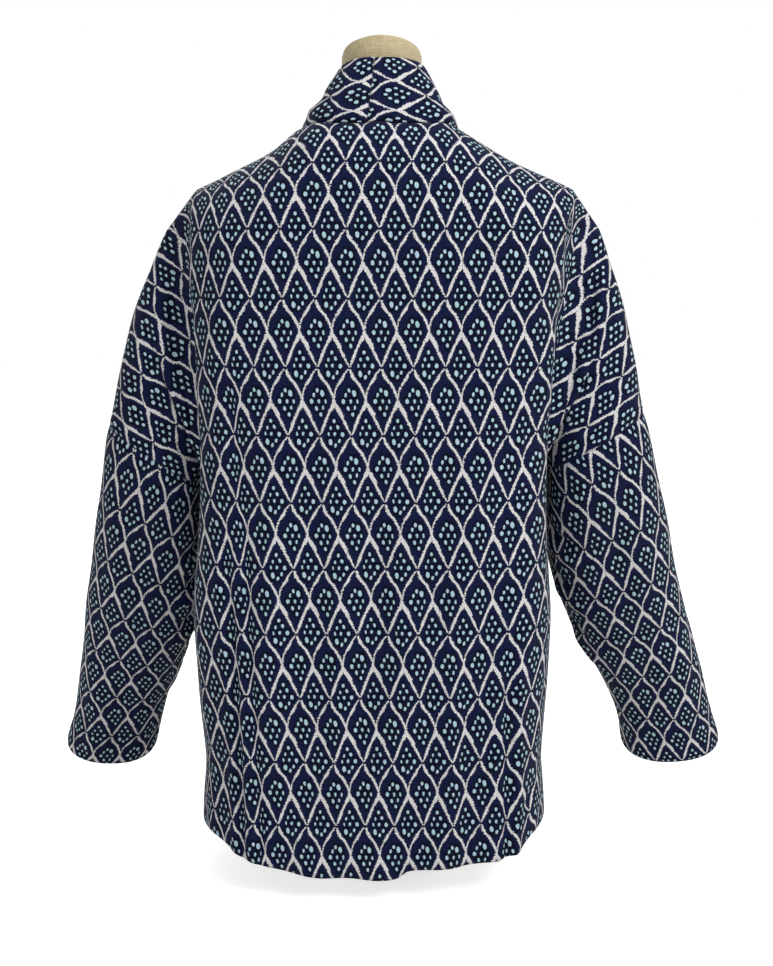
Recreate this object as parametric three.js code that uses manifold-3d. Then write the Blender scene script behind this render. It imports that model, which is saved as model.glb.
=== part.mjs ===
// Kimono jacket worn by a limbless linen dress form on a round countertop base.
// Millimetres, +Z up, front towards -Y. The origin is under the middle of the base.
import * as THREE from 'three';
import Module from 'manifold-3d';
import { mergeVertices } from 'three/addons/utils/BufferGeometryUtils.js';

const clothWall = 2.4;
const bandWall = 3.0;
const seamGap = 0.3;
const seamMargin = seamGap / 2;
const trimRoom = 0.45;        // room left round a neighbour where a piece is cut to clear it
const trimTolerance = 0.02;   // slivers below this are dropped after a cut

const yokeEnd = 640;          // height where the back and fronts start to hang straight
const neckHalf = 83;          // half width of the neckline at the shoulder seam
const ridgeY = 8;             // the shoulder seam lies a little behind the middle
const napeY = 90;             // how far back the neckline reaches
const yokeRound = { back: [3.0, 2.3], front: [1.7, 2.1] };  // roundness at the neck and at the shoulder point
const neckRound = 2.4;        // roundness of the neckline seen from above
const shoulderHalf = 197;     // half width at the shoulder point
const middleUnderarm = 458;   // height at the middle of the row that meets the underarms
const foldShare = 0.75;       // share of a half's hem that hangs between the middle and the fold
const bandSeamHalf = 98;      // the front band is sewn on at this half width
const bandEdgeHalf = 37;      // and its free edge hangs here

// Trunk sections: middle, half width at the folds by the arms, half width at the sides, depths, roundness
const trunk = [
  { z: 20, middle: 7, fold: 174, side: 188, back: 145, front: 154, round: 3.6 },
  { z: 86, middle: 7, fold: 174, side: 187, back: 143, front: 153, round: 3.6 },
  { z: 136, middle: 7, fold: 173, side: 184, back: 142, front: 152, round: 3.6 },
  { z: 226, middle: 8, fold: 180, side: 191, back: 141, front: 149, round: 3.7 },
  { z: 306, middle: 9, fold: 184, side: 193, back: 141, front: 146, round: 3.8 },
  { z: 430, middle: 8, fold: 180, side: 184, back: 142, front: 140, round: 3.8 },
  { z: 546, middle: 8, fold: 181, side: 190, back: 142, front: 130, round: 3.8 },
  { z: 605, middle: 7, fold: 183, side: 193, back: 141, front: 123, round: 3.8 },
  { z: 641, middle: 5, fold: 186, side: 198, back: 140, front: 118, round: 3.7 },
  { z: 680, middle: 3, fold: 192, side: 205, back: 138, front: 112, round: 3.5 },
  { z: 738, middle: -3, fold: 197, side: 212, back: 130, front: 100, round: 3.2 },
  { z: 800, middle: 2, fold: 197, side: 212, back: 110, front: 80, round: 3.0 },
];

// Shoulder seam from the neck to the shoulder point
const shoulder = [
  { half: 0, z: 818 },
  { half: 60, z: 811 },
  { half: 83, z: 798 },
  { half: 114, z: 777 },
  { half: 157, z: 756 },
  { half: 197, z: 738 },
];

// Outer line of the dropped shoulder and sleeve, and the inner line of the sleeve.
// y is the middle of the tube, depth its half depth and lean its tilt in degrees.
const arms = {
  left: {
    sign: 1,
    underarm: 450,
    outer: [
      { z: 738, x: 194, y: 7 },
      { z: 717, x: 214, y: 7 },
      { z: 696, x: 228, y: 6 },
      { z: 654, x: 247, y: 4 },
      { z: 590, x: 271, y: 0 },
      { z: 524, x: 287, y: -6 },
      { z: 489, x: 296, y: -10 },
    ],
    sleeve: [
      { at: 0, outerX: 296, outerZ: 489, innerX: 196, innerZ: 424, y: -9, depth: 60, lean: 0 },
      { at: 0.16, outerX: 311, outerZ: 425, innerX: 201, innerZ: 366, y: -33, depth: 59, lean: 6 },
      { at: 0.34, outerX: 329, outerZ: 352, innerX: 206, innerZ: 300, y: -68, depth: 57, lean: 12 },
      { at: 0.52, outerX: 347, outerZ: 278, innerX: 222, innerZ: 236, y: -103, depth: 54, lean: 18 },
      { at: 0.7, outerX: 362, outerZ: 203, innerX: 248, innerZ: 178, y: -137, depth: 50, lean: 22 },
      { at: 0.86, outerX: 377, outerZ: 130, innerX: 269, innerZ: 122, y: -165, depth: 47, lean: 25 },
      { at: 1, outerX: 394, outerZ: 72, innerX: 283, innerZ: 68, y: -186, depth: 46, lean: 26 },
    ],
  },
  right: {
    sign: -1,
    underarm: 466,
    outer: [
      { z: 738, x: 200, y: 7 },
      { z: 717, x: 219, y: 7 },
      { z: 696, x: 231, y: 6 },
      { z: 654, x: 246, y: 4 },
      { z: 590, x: 265, y: 0 },
      { z: 524, x: 279, y: -6 },
      { z: 502, x: 284, y: -9 },
    ],
    sleeve: [
      { at: 0, outerX: 284, outerZ: 502, innerX: 181, innerZ: 441, y: -9, depth: 60, lean: 0 },
      { at: 0.16, outerX: 304, outerZ: 438, innerX: 184, innerZ: 384, y: -31, depth: 59, lean: 6 },
      { at: 0.34, outerX: 327, outerZ: 362, innerX: 193, innerZ: 318, y: -64, depth: 57, lean: 12 },
      { at: 0.52, outerX: 350, outerZ: 284, innerX: 218, innerZ: 252, y: -100, depth: 54, lean: 18 },
      { at: 0.7, outerX: 378, outerZ: 205, innerX: 253, innerZ: 190, y: -136, depth: 50, lean: 22 },
      { at: 0.86, outerX: 401, outerZ: 134, innerX: 285, innerZ: 128, y: -165, depth: 47, lean: 25 },
      { at: 1, outerX: 420, outerZ: 75, innerX: 299, innerZ: 69, y: -186, depth: 46, lean: 26 },
    ],
  },
};

// Hem height across a half of the back (0 at the middle, 1 at the side seam) and of the fronts
const hem = {
  backLeft: [{ at: 0, z: 28 }, { at: 0.3, z: 31 }, { at: 0.45, z: 37 }, { at: 0.6, z: 47 },
    { at: 0.75, z: 61 }, { at: 1, z: 66 }],
  backRight: [{ at: 0, z: 28 }, { at: 0.1, z: 29 }, { at: 0.15, z: 36 }, { at: 0.35, z: 40 },
    { at: 0.6, z: 47 }, { at: 0.75, z: 62 }, { at: 1, z: 70 }],
  frontLeft: [{ at: 0, z: 44 }, { at: 0.75, z: 54 }, { at: 1, z: 66 }],
  frontRight: [{ at: 0, z: 46 }, { at: 0.75, z: 57 }, { at: 1, z: 70 }],
};

// Collar and band: where it is sewn on (half width round the neck, or height down the front),
// and where its free edge is
const collarMiddle = -1;
const collarMeet = { napeHalf: 13, edgeHalf: 8, edgeY: 63, edgeZ: 867 };  // the halves meet on the left
const collar = [
  { napeHalf: 0, edgeHalf: 0, edgeY: 63, edgeZ: 867 },
  { napeHalf: 22, edgeHalf: 13, edgeY: 62, edgeZ: 867 },
  { napeHalf: 44, edgeHalf: 27, edgeY: 57, edgeZ: 866 },
  { napeHalf: 64, edgeHalf: 39, edgeY: 45, edgeZ: 863 },
  { napeHalf: 76, edgeHalf: 45, edgeY: 28, edgeZ: 857 },
  { napeHalf: 83, edgeHalf: 47, edgeY: 3, edgeZ: 845 },
];
const bandNeck = [
  { seamZ: 782, edgeHalf: 48, edgeY: -28, edgeZ: 818 },
  { seamZ: 758, edgeHalf: 47, edgeY: -58, edgeZ: 780 },
  { seamZ: 722, edgeHalf: 44, edgeY: -87, edgeZ: 736 },
  { seamZ: 680, edgeHalf: 40, edgeY: -108, edgeZ: 686 },
];
const bandRows = 12;          // rows of the straight front band down to the hem
const bandTop = 632;          // height where the straight band starts
const bandProud = 1;          // the band's free edge stands this far forward of the fronts
const bandColumns = 4;
const collarLift = 1.5;       // the collar stands this far off the neckline edge
const collarPart = 0.375;     // each half of the collar stops this far from where they meet

// Dress form sections, and the heights of the rings that are worked out from them
const formBottom = 170;
const formRings = [formBottom, 182, 205, 230, 265, 300, 335, 370, 405, 440, 480, 520, 560, 600, 640, 680, 704,
  728, 748, 764, 780, 800, 825, 850];
const formSections = [
  { z: formBottom, half: 138, depth: 96, y: 4 },
  { z: 182, half: 147, depth: 104, y: 4 },
  { z: 230, half: 157, depth: 111, y: 4 },
  { z: 300, half: 153, depth: 107, y: 4 },
  { z: 370, half: 134, depth: 94, y: 4 },
  { z: 440, half: 120, depth: 85, y: 4 },
  { z: 520, half: 128, depth: 92, y: 8 },
  { z: 600, half: 144, depth: 100, y: 12 },
  { z: 660, half: 155, depth: 92, y: 14 },
  { z: 700, half: 158, depth: 76, y: 16 },
  { z: 728, half: 148, depth: 60, y: 18 },
  { z: 748, half: 124, depth: 52, y: 20 },
  { z: 764, half: 98, depth: 47, y: 22 },
  { z: 780, half: 72, depth: 44, y: 22 },
  { z: 800, half: 52, depth: 42, y: 20 },
  { z: 825, half: 44, depth: 41, y: 17 },
  { z: 850, half: 40.5, depth: 40, y: 15 },
];
const neckTop = { half: 40.5, depth: 39, y: 15, z: 873, slope: 0.4, crown: 6, crownRing: 0.5 };
const formSides = 40;
const base = { radius: 70, height: 16, edge: 3 };
const stem = { radius: 9, bottom: base.height, top: formBottom - seamGap };
const turnedSides = 48;
const weldWithin = 1e-4;      // corners this close are one corner

function readTable(table, key, column, value) {
  const rows = table[0][key] <= table[table.length - 1][key] ? table : [...table].reverse();
  const last = rows.length - 1;
  const clamped = Math.min(Math.max(value, rows[0][key]), rows[last][key]);
  let i = 0;
  while (i < last - 1 && rows[i + 1][key] < clamped) i += 1;
  const slope = (k) => {
    const before = rows[Math.max(k - 1, 0)];
    const after = rows[Math.min(k + 1, last)];
    return (after[column] - before[column]) / (after[key] - before[key]);
  };
  const span = rows[i + 1][key] - rows[i][key];
  const t = (clamped - rows[i][key]) / span;
  const a = rows[i][column];
  const b = rows[i + 1][column];
  const t2 = t * t;
  const t3 = t2 * t;
  return (2 * t3 - 3 * t2 + 1) * a + (t3 - 2 * t2 + t) * span * slope(i)
    + (3 * t2 - 2 * t3) * b + (t3 - t2) * span * slope(i + 1);
}

const mix = (a, b, t) => a + (b - a) * t;
const power = (value, exponent) => Math.sign(value) * Math.abs(value) ** exponent;
const evenly = (count, from, to) => Array.from({ length: count }, (_, i) => mix(from, to, i / (count - 1)));

// Depth of the trunk at a half width, towards the back or the front
function trunkY(facing, half, z) {
  const side = readTable(trunk, 'z', 'side', z);
  const depth = readTable(trunk, 'z', facing > 0 ? 'back' : 'front', z);
  const round = readTable(trunk, 'z', 'round', z);
  const share = Math.min(half / side, 1);
  return facing * depth * (1 - share ** round) ** (1 / round);
}

// Point of the yoke between the shoulder seam (turn 0) and the height where it hangs (turn 1)
function yokePoint(arm, facing, topHalf, turn) {
  const ridgeZ = readTable(shoulder, 'half', 'z', topHalf);
  const hangHalf = topHalf * readTable(trunk, 'z', 'fold', yokeEnd) / shoulderHalf;
  const hangY = trunkY(facing, hangHalf, yokeEnd);
  const round = mix(...yokeRound[facing > 0 ? 'back' : 'front'], topHalf / shoulderHalf);
  const angle = turn * Math.PI / 2;
  const y = mix(ridgeY, hangY, Math.sin(angle) ** (2 / round));
  const z = yokeEnd + (ridgeZ - yokeEnd) * Math.cos(angle) ** (2 / round);
  const half = mix(topHalf, hangHalf, (1 - Math.cos(angle)));
  const middle = readTable(trunk, 'z', 'middle', z);
  return new THREE.Vector3(middle + arm.sign * half, y, z);
}

// The neckline cuts the yoke where its plan curve crosses it
function napeTurn(topHalf) {
  const share = Math.min(topHalf / neckHalf, 1);
  const y = ridgeY + (napeY - ridgeY) * (1 - share ** neckRound) ** (1 / neckRound);
  const hangHalf = topHalf * readTable(trunk, 'z', 'fold', yokeEnd) / shoulderHalf;
  const round = mix(...yokeRound.back, topHalf / shoulderHalf);
  const across = (y - ridgeY) / (trunkY(1, hangHalf, yokeEnd) - ridgeY);
  return Math.asin(across ** (round / 2)) * 2 / Math.PI;
}

const yokeRows = 7;
const chestRows = 6;
const skirtRows = 11;
const foldRow = yokeRows + chestRows - 1;
const topHalves = {
  back: [0, 22, 44, 66, neckHalf, 115, 142, 170, shoulderHalf],
  front: [neckHalf, 110, 132, 154, 176, shoulderHalf],
};
const wingColumns = 8;
const sideColumns = 3;
const wingSpread = 0.85;      // below 1 the half rings stand closer together towards the sleeve seam
const wingBulge = [
  { column: 0, depth: 62 },
  { column: 1, depth: 24 },
  { column: 2, depth: 40 },
  { column: 3, depth: 56 },
  { column: 5, depth: 60 },
  { column: wingColumns, depth: 60 },
];
const wingRound = [2.2, 2.5]; // roundness of the half rings at the fold and at the sleeve seam
const wingPace = 1.1;         // above 1 the rows start slower at the top of a half ring
const cuffRound = 2.2;

// A point of the hanging cloth below the yoke, on the flat part between the folds
function hangPoint(arm, facing, share, row) {
  const hemTable = hem[(facing > 0 ? 'back' : 'front') + (arm.sign > 0 ? 'Left' : 'Right')];
  let z;
  if (row <= foldRow) {
    const down = (row - yokeRows + 1) / chestRows;
    z = mix(yokeEnd, mix(middleUnderarm, arm.underarm, share), down);
  } else {
    const down = (row - foldRow) / skirtRows;
    const hemZ = readTable(hemTable, 'at', 'z', share * foldShare);
    z = mix(mix(middleUnderarm, arm.underarm, share), hemZ, down);
  }
  const fold = readTable(trunk, 'z', 'fold', z);
  const middle = readTable(trunk, 'z', 'middle', z);
  const half = facing > 0 ? share * fold : mix(bandSeamHalf, fold, share);
  return new THREE.Vector3(middle + arm.sign * half, trunkY(facing, half, z), z);
}

// A point of the side of the trunk below the underarm, share 0 at the fold and 1 at the side seam
function sidePoint(arm, facing, share, row) {
  const hemTable = hem[(facing > 0 ? 'back' : 'front') + (arm.sign > 0 ? 'Left' : 'Right')];
  const down = (row - foldRow) / skirtRows;
  const z = mix(arm.underarm, readTable(hemTable, 'at', 'z', mix(foldShare, 1, share)), down);
  const side = readTable(trunk, 'z', 'side', z);
  const round = readTable(trunk, 'z', 'round', z);
  const fold = readTable(trunk, 'z', 'fold', z);
  const depth = readTable(trunk, 'z', facing > 0 ? 'back' : 'front', z);
  const start = Math.asin((fold / side) ** (round / 2));
  const angle = mix(start, Math.PI / 2, share);
  const half = side * Math.sin(angle) ** (2 / round);
  const y = facing * depth * Math.max(Math.cos(angle), 0) ** (2 / round);
  return new THREE.Vector3(readTable(trunk, 'z', 'middle', z) + arm.sign * half, y, z);
}

// Dropped shoulder: half rings that fan out from the underarm to the sleeve seam
function wingPoint(arm, facing, column, turn) {
  const reach = column / wingColumns;
  const topZ = mix(arm.outer[0].z, arm.outer[arm.outer.length - 1].z, reach ** wingSpread);
  const top = new THREE.Vector3(
    arm.sign * readTable(arm.outer, 'z', 'x', topZ), readTable(arm.outer, 'z', 'y', topZ), topZ);
  const sideTop = sidePoint(arm, facing, Math.min(column / sideColumns, 1), foldRow);
  const seam = arm.sleeve[0];
  const seamBottom = new THREE.Vector3(arm.sign * seam.innerX, seam.y, seam.innerZ);
  const past = Math.max(column - sideColumns, 0) / (wingColumns - sideColumns);
  const bottom = sideTop.lerp(seamBottom, past);
  const bulge = readTable(wingBulge, 'column', 'depth', column);
  const round = mix(...wingRound, reach);
  const angle = turn * Math.PI;
  const along = power(Math.cos(angle), 2 / round);
  const out = Math.abs(Math.sin(angle)) ** (2 / round);
  const point = top.clone().add(bottom).multiplyScalar(0.5);
  point.addScaledVector(top.clone().sub(bottom), along / 2);
  point.y += facing * bulge * out;
  return point;
}

function sleevePoint(arm, share, angle) {
  const row = (column) => readTable(arm.sleeve, 'at', column, share);
  const outer = new THREE.Vector3(arm.sign * row('outerX'), row('y'), row('outerZ'));
  const inner = new THREE.Vector3(arm.sign * row('innerX'), row('y'), row('innerZ'));
  const lean = THREE.MathUtils.degToRad(row('lean'));
  const round = mix(wingRound[1], cuffRound, share);
  const along = power(Math.cos(angle), 2 / round);
  const out = power(Math.sin(angle), 2 / round) * row('depth');
  const point = outer.clone().add(inner).multiplyScalar(0.5);
  point.addScaledVector(outer.sub(inner), along / 2);
  point.y += out * Math.cos(lean);
  point.z -= out * Math.sin(lean);
  return point;
}

// Closed wall from a grid of points: outer face, inner face and a rim round every open edge.
// Empty places of the grid are left out. wrap joins the last column to the first,
// and room thickens the wall on both faces.
function wallMesh(grid, wall, wrap = false, room = 0) {
  const rows = grid.length;
  const columns = grid[0].length;
  const has = (i, j) => Boolean(grid[i] && grid[i][j]);
  const next = (j) => (j + 1) % columns;
  const cells = [];
  for (let i = 0; i < rows - 1; i += 1) {
    for (let j = 0; j < (wrap ? columns : columns - 1); j += 1) {
      if (has(i, j) && has(i + 1, j) && has(i, next(j)) && has(i + 1, next(j))) cells.push([i, j]);
    }
  }
  const key = (i, j) => i * columns + j;
  const normals = new Map();
  const addNormal = (k, n) => {
    if (!normals.has(k)) normals.set(k, new THREE.Vector3());
    normals.get(k).add(n);
  };
  for (const [i, j] of cells) {
    const a = grid[i][j];
    const b = grid[i + 1][j];
    const c = grid[i + 1][next(j)];
    const d = grid[i][next(j)];
    const n = c.clone().sub(a).cross(d.clone().sub(b));
    for (const k of [key(i, j), key(i + 1, j), key(i + 1, next(j)), key(i, next(j))]) addNormal(k, n);
  }
  const index = new Map();
  const positions = [];
  for (const [k, n] of normals) {
    const point = grid[Math.floor(k / columns)][k % columns];
    index.set(k, positions.length / 3);
    n.normalize();
    for (const offset of [room, -wall - room]) {
      positions.push(point.x + n.x * offset, point.y + n.y * offset, point.z + n.z * offset);
    }
  }
  const faces = [];
  const quad = (p, q, r, s) => faces.push(p, q, r, p, r, s);
  const edges = new Map();
  for (const [i, j] of cells) {
    const corners = [key(i, j), key(i + 1, j), key(i + 1, next(j)), key(i, next(j))].map((k) => index.get(k));
    quad(...corners);
    quad(...corners.map((k) => k + 1).reverse());
    corners.forEach((from, side) => {
      const to = corners[(side + 1) % 4];
      if (edges.has(`${to},${from}`)) edges.delete(`${to},${from}`);
      else edges.set(`${from},${to}`, [from, to]);
    });
  }
  for (const [from, to] of edges.values()) quad(to, from, from + 1, to + 1);
  const geometry = new THREE.BufferGeometry();
  geometry.setAttribute('position', new THREE.Float32BufferAttribute(positions, 3));
  geometry.setIndex(faces);
  return geometry;
}

// Pulls the points of a sewn edge back from the seam, towards the next points of the same piece
function pullBack(grid, places, distance = seamMargin) {
  for (const [i, j, towardI, towardJ] of places) {
    if (!grid[i][j] || !grid[towardI] || !grid[towardI][towardJ]) continue;
    const step = grid[towardI][towardJ].clone().sub(grid[i][j]);
    const length = step.length();
    if (length > distance * 2) grid[i][j].addScaledVector(step, distance / length);
  }
}

// Turn of a dropped-shoulder half ring at a row, in step with the rows of the trunk beside it
const wingTurn = (row) => (row / foldRow) ** wingPace;

// Half of the back or of a front: rows from the shoulder seam down, columns from the middle outwards
function halfGrid(arm, facing) {
  const tops = facing > 0 ? topHalves.back : topHalves.front;
  const lastRow = foldRow + skirtRows;
  const grid = [];
  for (let row = 0; row <= lastRow; row += 1) {
    const line = [];
    tops.forEach((topHalf, column) => {
      const share = column / (tops.length - 1);
      const flatShare = facing > 0 ? topHalf / shoulderHalf : share;
      if (row < yokeRows - 1) {
        const from = facing > 0 && topHalf < neckHalf ? napeTurn(topHalf) : 0;
        const point = yokePoint(arm, facing, topHalf, mix(from, 1, row / (yokeRows - 1)));
        const hang = hangPoint(arm, facing, flatShare, yokeRows - 1);
        const blend = (row / (yokeRows - 1)) ** 2;
        point.x = mix(point.x, hang.x, blend);
        line.push(point);
      } else {
        line.push(hangPoint(arm, facing, flatShare, row));
      }
    });
    for (let column = 1; column <= wingColumns; column += 1) {
      if (row <= foldRow) {
        line.push(wingPoint(arm, facing, column, wingTurn(row)));
      } else if (column <= sideColumns) {
        line.push(sidePoint(arm, facing, column / sideColumns, row));
      } else {
        line.push(null);
      }
    }
    grid.push(line);
  }
  return grid;
}

function sewnEdges(grid, middleColumn) {
  const rows = grid.length;
  const columns = grid[0].length;
  const sideColumn = columns - 1 - wingColumns + sideColumns;
  const places = [];
  for (let j = 0; j < columns; j += 1) places.push([0, j, 1, j]);
  for (let i = 0; i <= foldRow; i += 1) places.push([i, columns - 1, i, columns - 2]);
  for (let j = sideColumn + 1; j < columns; j += 1) places.push([foldRow, j, foldRow - 1, j]);
  for (let i = foldRow; i < rows; i += 1) places.push([i, sideColumn, i, sideColumn - 1]);
  if (middleColumn) for (let i = 0; i < rows; i += 1) places.push([i, 0, i, 1]);
  return places;
}

function backGeometry(room = 0, pulled = true) {
  const left = halfGrid(arms.left, 1);
  const right = halfGrid(arms.right, 1);
  if (pulled) {
    pullBack(left, sewnEdges(left, false));
    pullBack(right, sewnEdges(right, false));
  }
  const grid = left.map((line, i) => {
    const middle = line[0].clone().add(right[i][0]).multiplyScalar(0.5);
    return [...[...line].reverse().slice(0, -1), middle, ...right[i].slice(1)];
  });
  return wallMesh(grid.map((line) => [...line].reverse()), clothWall, false, room);
}

function frontGeometry(arm, room = 0, pulled = true) {
  const grid = halfGrid(arm, -1);
  if (pulled) pullBack(grid, sewnEdges(grid, true));
  return wallMesh(arm.sign > 0 ? grid : grid.map((line) => [...line].reverse()), clothWall, false, room);
}

const sleeveRows = 11;
const sleeveSides = 24;

function sleeveGeometry(arm) {
  const grid = evenly(sleeveRows, 0, 1).map((share) => {
    const line = [];
    for (let k = 0; k < sleeveSides; k += 1) {
      line.push(sleevePoint(arm, share, arm.sign * -2 * Math.PI * k / sleeveSides));
    }
    return line;
  });
  for (let k = 0; k < sleeveSides; k += 1) pullBack(grid, [[0, k, 1, k]]);
  return wallMesh(grid, clothWall, true);
}

function neckLine(arm, row) {
  const turn = row.napeHalf < neckHalf ? napeTurn(row.napeHalf) : 0;
  const edge = new THREE.Vector3(collarMiddle + arm.sign * row.edgeHalf, row.edgeY, row.edgeZ);
  return { seam: yokePoint(arm, 1, row.napeHalf, turn), edge };
}

// Rows of a collar half round the neck: the right half starts beyond the middle
const neckRows = (arm) => (arm.sign > 0 ? collar.slice(1) : collar);

// Seam and free edge of the collar band, from the back of the neck round and down to the hem
function bandLines(arm) {
  const lines = [neckLine(arms.left, collarMeet), ...neckRows(arm).map((row) => neckLine(arm, row))];
  const grid = halfGrid(arm, -1);
  const frontSeam = grid.map((line) => line[0]);
  const seamAt = (z) => {
    let i = 0;
    while (i < frontSeam.length - 2 && frontSeam[i + 1].z > z) i += 1;
    const t = (frontSeam[i].z - z) / (frontSeam[i].z - frontSeam[i + 1].z);
    return frontSeam[i].clone().lerp(frontSeam[i + 1], t);
  };
  for (const row of bandNeck) {
    const middle = readTable(trunk, 'z', 'middle', row.edgeZ);
    const edge = new THREE.Vector3(middle + arm.sign * row.edgeHalf, row.edgeY, row.edgeZ);
    lines.push({ seam: seamAt(row.seamZ), edge });
  }
  const bottom = frontSeam[frontSeam.length - 1].z;
  for (const z of evenly(bandRows, bandTop, bottom)) {
    const seam = seamAt(z);
    const middle = readTable(trunk, 'z', 'middle', z);
    const y = trunkY(-1, bandEdgeHalf, z) - bandProud;
    lines.push({ seam, edge: new THREE.Vector3(middle + arm.sign * bandEdgeHalf, y, z) });
  }
  return lines;
}

function bandGeometry(arm) {
  const grid = bandLines(arm).map(({ seam, edge }) => (
    evenly(bandColumns, 0, 1).map((t) => seam.clone().lerp(edge, t))));
  for (let j = 0; j < bandColumns; j += 1) pullBack(grid, [[0, j, 1, j]], collarPart);
  for (let i = 0; i < grid.length; i += 1) {
    pullBack(grid, [[i, 0, i, 1]], i <= neckRows(arm).length ? collarLift : seamMargin);
  }
  return wallMesh(arm.sign > 0 ? grid.map((line) => [...line].reverse()) : grid, bandWall);
}

// Smooth closed torso and neck with a flat underside and a slanted, slightly crowned neck top
function formGeometry() {
  const sides = formSides;
  const rings = [];
  for (const z of formRings) {
    const half = readTable(formSections, 'z', 'half', z);
    const depth = readTable(formSections, 'z', 'depth', z);
    const y = readTable(formSections, 'z', 'y', z);
    rings.push(evenly(sides + 1, 0, 2 * Math.PI).slice(0, -1).map((angle) => (
      new THREE.Vector3(half * Math.cos(angle), y + depth * Math.sin(angle), z))));
  }
  for (const shrink of [1, neckTop.crownRing]) {
    rings.push(evenly(sides + 1, 0, 2 * Math.PI).slice(0, -1).map((angle) => {
      const side = neckTop.depth * shrink * Math.sin(angle);
      const z = neckTop.z + neckTop.slope * side + (shrink < 1 ? neckTop.crown : 0);
      return new THREE.Vector3(neckTop.half * shrink * Math.cos(angle), neckTop.y + side, z);
    }));
  }
  const positions = [];
  const faces = [];
  rings.flat().forEach((p) => positions.push(p.x, p.y, p.z));
  for (let i = 0; i < rings.length - 1; i += 1) {
    for (let k = 0; k < sides; k += 1) {
      const a = i * sides + k;
      const b = i * sides + ((k + 1) % sides);
      faces.push(a, b, b + sides, a, b + sides, a + sides);
    }
  }
  const bottom = positions.length / 3;
  positions.push(0, formSections[0].y, formBottom);
  const top = bottom + 1;
  positions.push(0, neckTop.y, neckTop.z + neckTop.crown);
  const lastRing = (rings.length - 1) * sides;
  for (let k = 0; k < sides; k += 1) {
    const n = (k + 1) % sides;
    faces.push(bottom, n, k);
    faces.push(top, lastRing + k, lastRing + n);
  }
  const geometry = new THREE.BufferGeometry();
  geometry.setAttribute('position', new THREE.Float32BufferAttribute(positions, 3));
  geometry.setIndex(faces);
  return geometry;
}

function turned(points) {
  const geometry = new THREE.LatheGeometry(points.map(([r, z]) => new THREE.Vector2(r, z)), turnedSides);
  geometry.rotateX(Math.PI / 2);
  return geometry;
}

const wasm = await Module();
wasm.setup();

function solidOf(geometry) {
  const bare = geometry.clone();
  bare.deleteAttribute('normal');
  bare.deleteAttribute('uv');
  const merged = mergeVertices(bare, weldWithin);
  return new wasm.Manifold(new wasm.Mesh({
    numProp: 3,
    vertProperties: new Float32Array(merged.attributes.position.array),
    triVerts: new Uint32Array(merged.index.array),
  }));
}

// Cuts the room of sewn neighbours out of a piece, and keeps its largest body
function clearOf(geometry, neighbours) {
  let solid = solidOf(geometry);
  for (const neighbour of neighbours) solid = solid.subtract(solidOf(neighbour));
  const largest = (whole) => whole.decompose().sort((a, b) => b.volume() - a.volume())[0];
  const mesh = largest(largest(solid).simplify(trimTolerance)).getMesh();
  const cut = new THREE.BufferGeometry();
  cut.setAttribute('position', new THREE.Float32BufferAttribute(mesh.vertProperties, 3));
  cut.setIndex([...mesh.triVerts]);
  return cut;
}

const jacketCloth = () => new THREE.MeshStandardMaterial({ color: 0x1d2348, roughness: 0.88, metalness: 0 });
const linen = () => new THREE.MeshStandardMaterial({ color: 0xc8b489, roughness: 0.9, metalness: 0 });
const paintedMetal = () => (
  new THREE.MeshStandardMaterial({ color: 0x2c2c2e, roughness: 0.45, metalness: 0.6 }));

const jacket = new THREE.Group();
const add = (name, geometry, material) => {
  const mesh = new THREE.Mesh(geometry, material);
  mesh.name = name;
  jacket.add(mesh);
};

const backRoom = [backGeometry(trimRoom, false), backGeometry(trimRoom)];
add('back', backGeometry(), jacketCloth());
for (const [side, arm] of Object.entries(arms)) {
  const frontRoom = frontGeometry(arm, trimRoom, false);
  add(`front_${side}`, clearOf(frontGeometry(arm), backRoom), jacketCloth());
  add(`sleeve_${side}`, clearOf(sleeveGeometry(arm), [...backRoom, frontRoom]), jacketCloth());
  add(`collar_${side}`, clearOf(bandGeometry(arm), [backRoom[0], frontRoom]), jacketCloth());
}
add('dress_form', formGeometry(), linen());
add('stand_stem', turned([[0, stem.bottom + seamGap], [stem.radius, stem.bottom + seamGap],
  [stem.radius, stem.top], [0, stem.top]]), paintedMetal());
const baseFlat = base.radius - base.edge;
add('stand_base', turned([[0, 0], [baseFlat, 0], [base.radius, base.edge],
  [base.radius, base.height - base.edge], [baseFlat, base.height], [0, base.height]]), paintedMetal());

export default jacket;
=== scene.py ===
import bisect
import math
import bpy
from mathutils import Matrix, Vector


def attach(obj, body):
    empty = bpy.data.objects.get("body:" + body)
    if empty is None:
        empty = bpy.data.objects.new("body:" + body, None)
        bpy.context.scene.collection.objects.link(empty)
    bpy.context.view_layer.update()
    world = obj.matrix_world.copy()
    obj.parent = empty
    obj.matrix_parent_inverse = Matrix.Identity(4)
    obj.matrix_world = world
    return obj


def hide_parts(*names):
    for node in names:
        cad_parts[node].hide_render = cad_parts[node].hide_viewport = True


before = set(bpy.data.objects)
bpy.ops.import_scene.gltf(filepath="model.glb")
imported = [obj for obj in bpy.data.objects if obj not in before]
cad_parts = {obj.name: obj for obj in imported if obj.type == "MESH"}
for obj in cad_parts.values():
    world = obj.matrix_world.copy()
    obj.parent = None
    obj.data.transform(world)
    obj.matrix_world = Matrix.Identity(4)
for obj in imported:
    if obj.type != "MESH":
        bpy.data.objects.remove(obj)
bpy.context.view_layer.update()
mm = 0.001


# Short tables with named columns, read smoothly along the first column
def table(names, *rows):
    rows = sorted(rows)
    columns = {name: [row[i] for row in rows] for i, name in enumerate(names.split())}
    columns["key"] = [row[0] for row in rows]
    return columns


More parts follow.
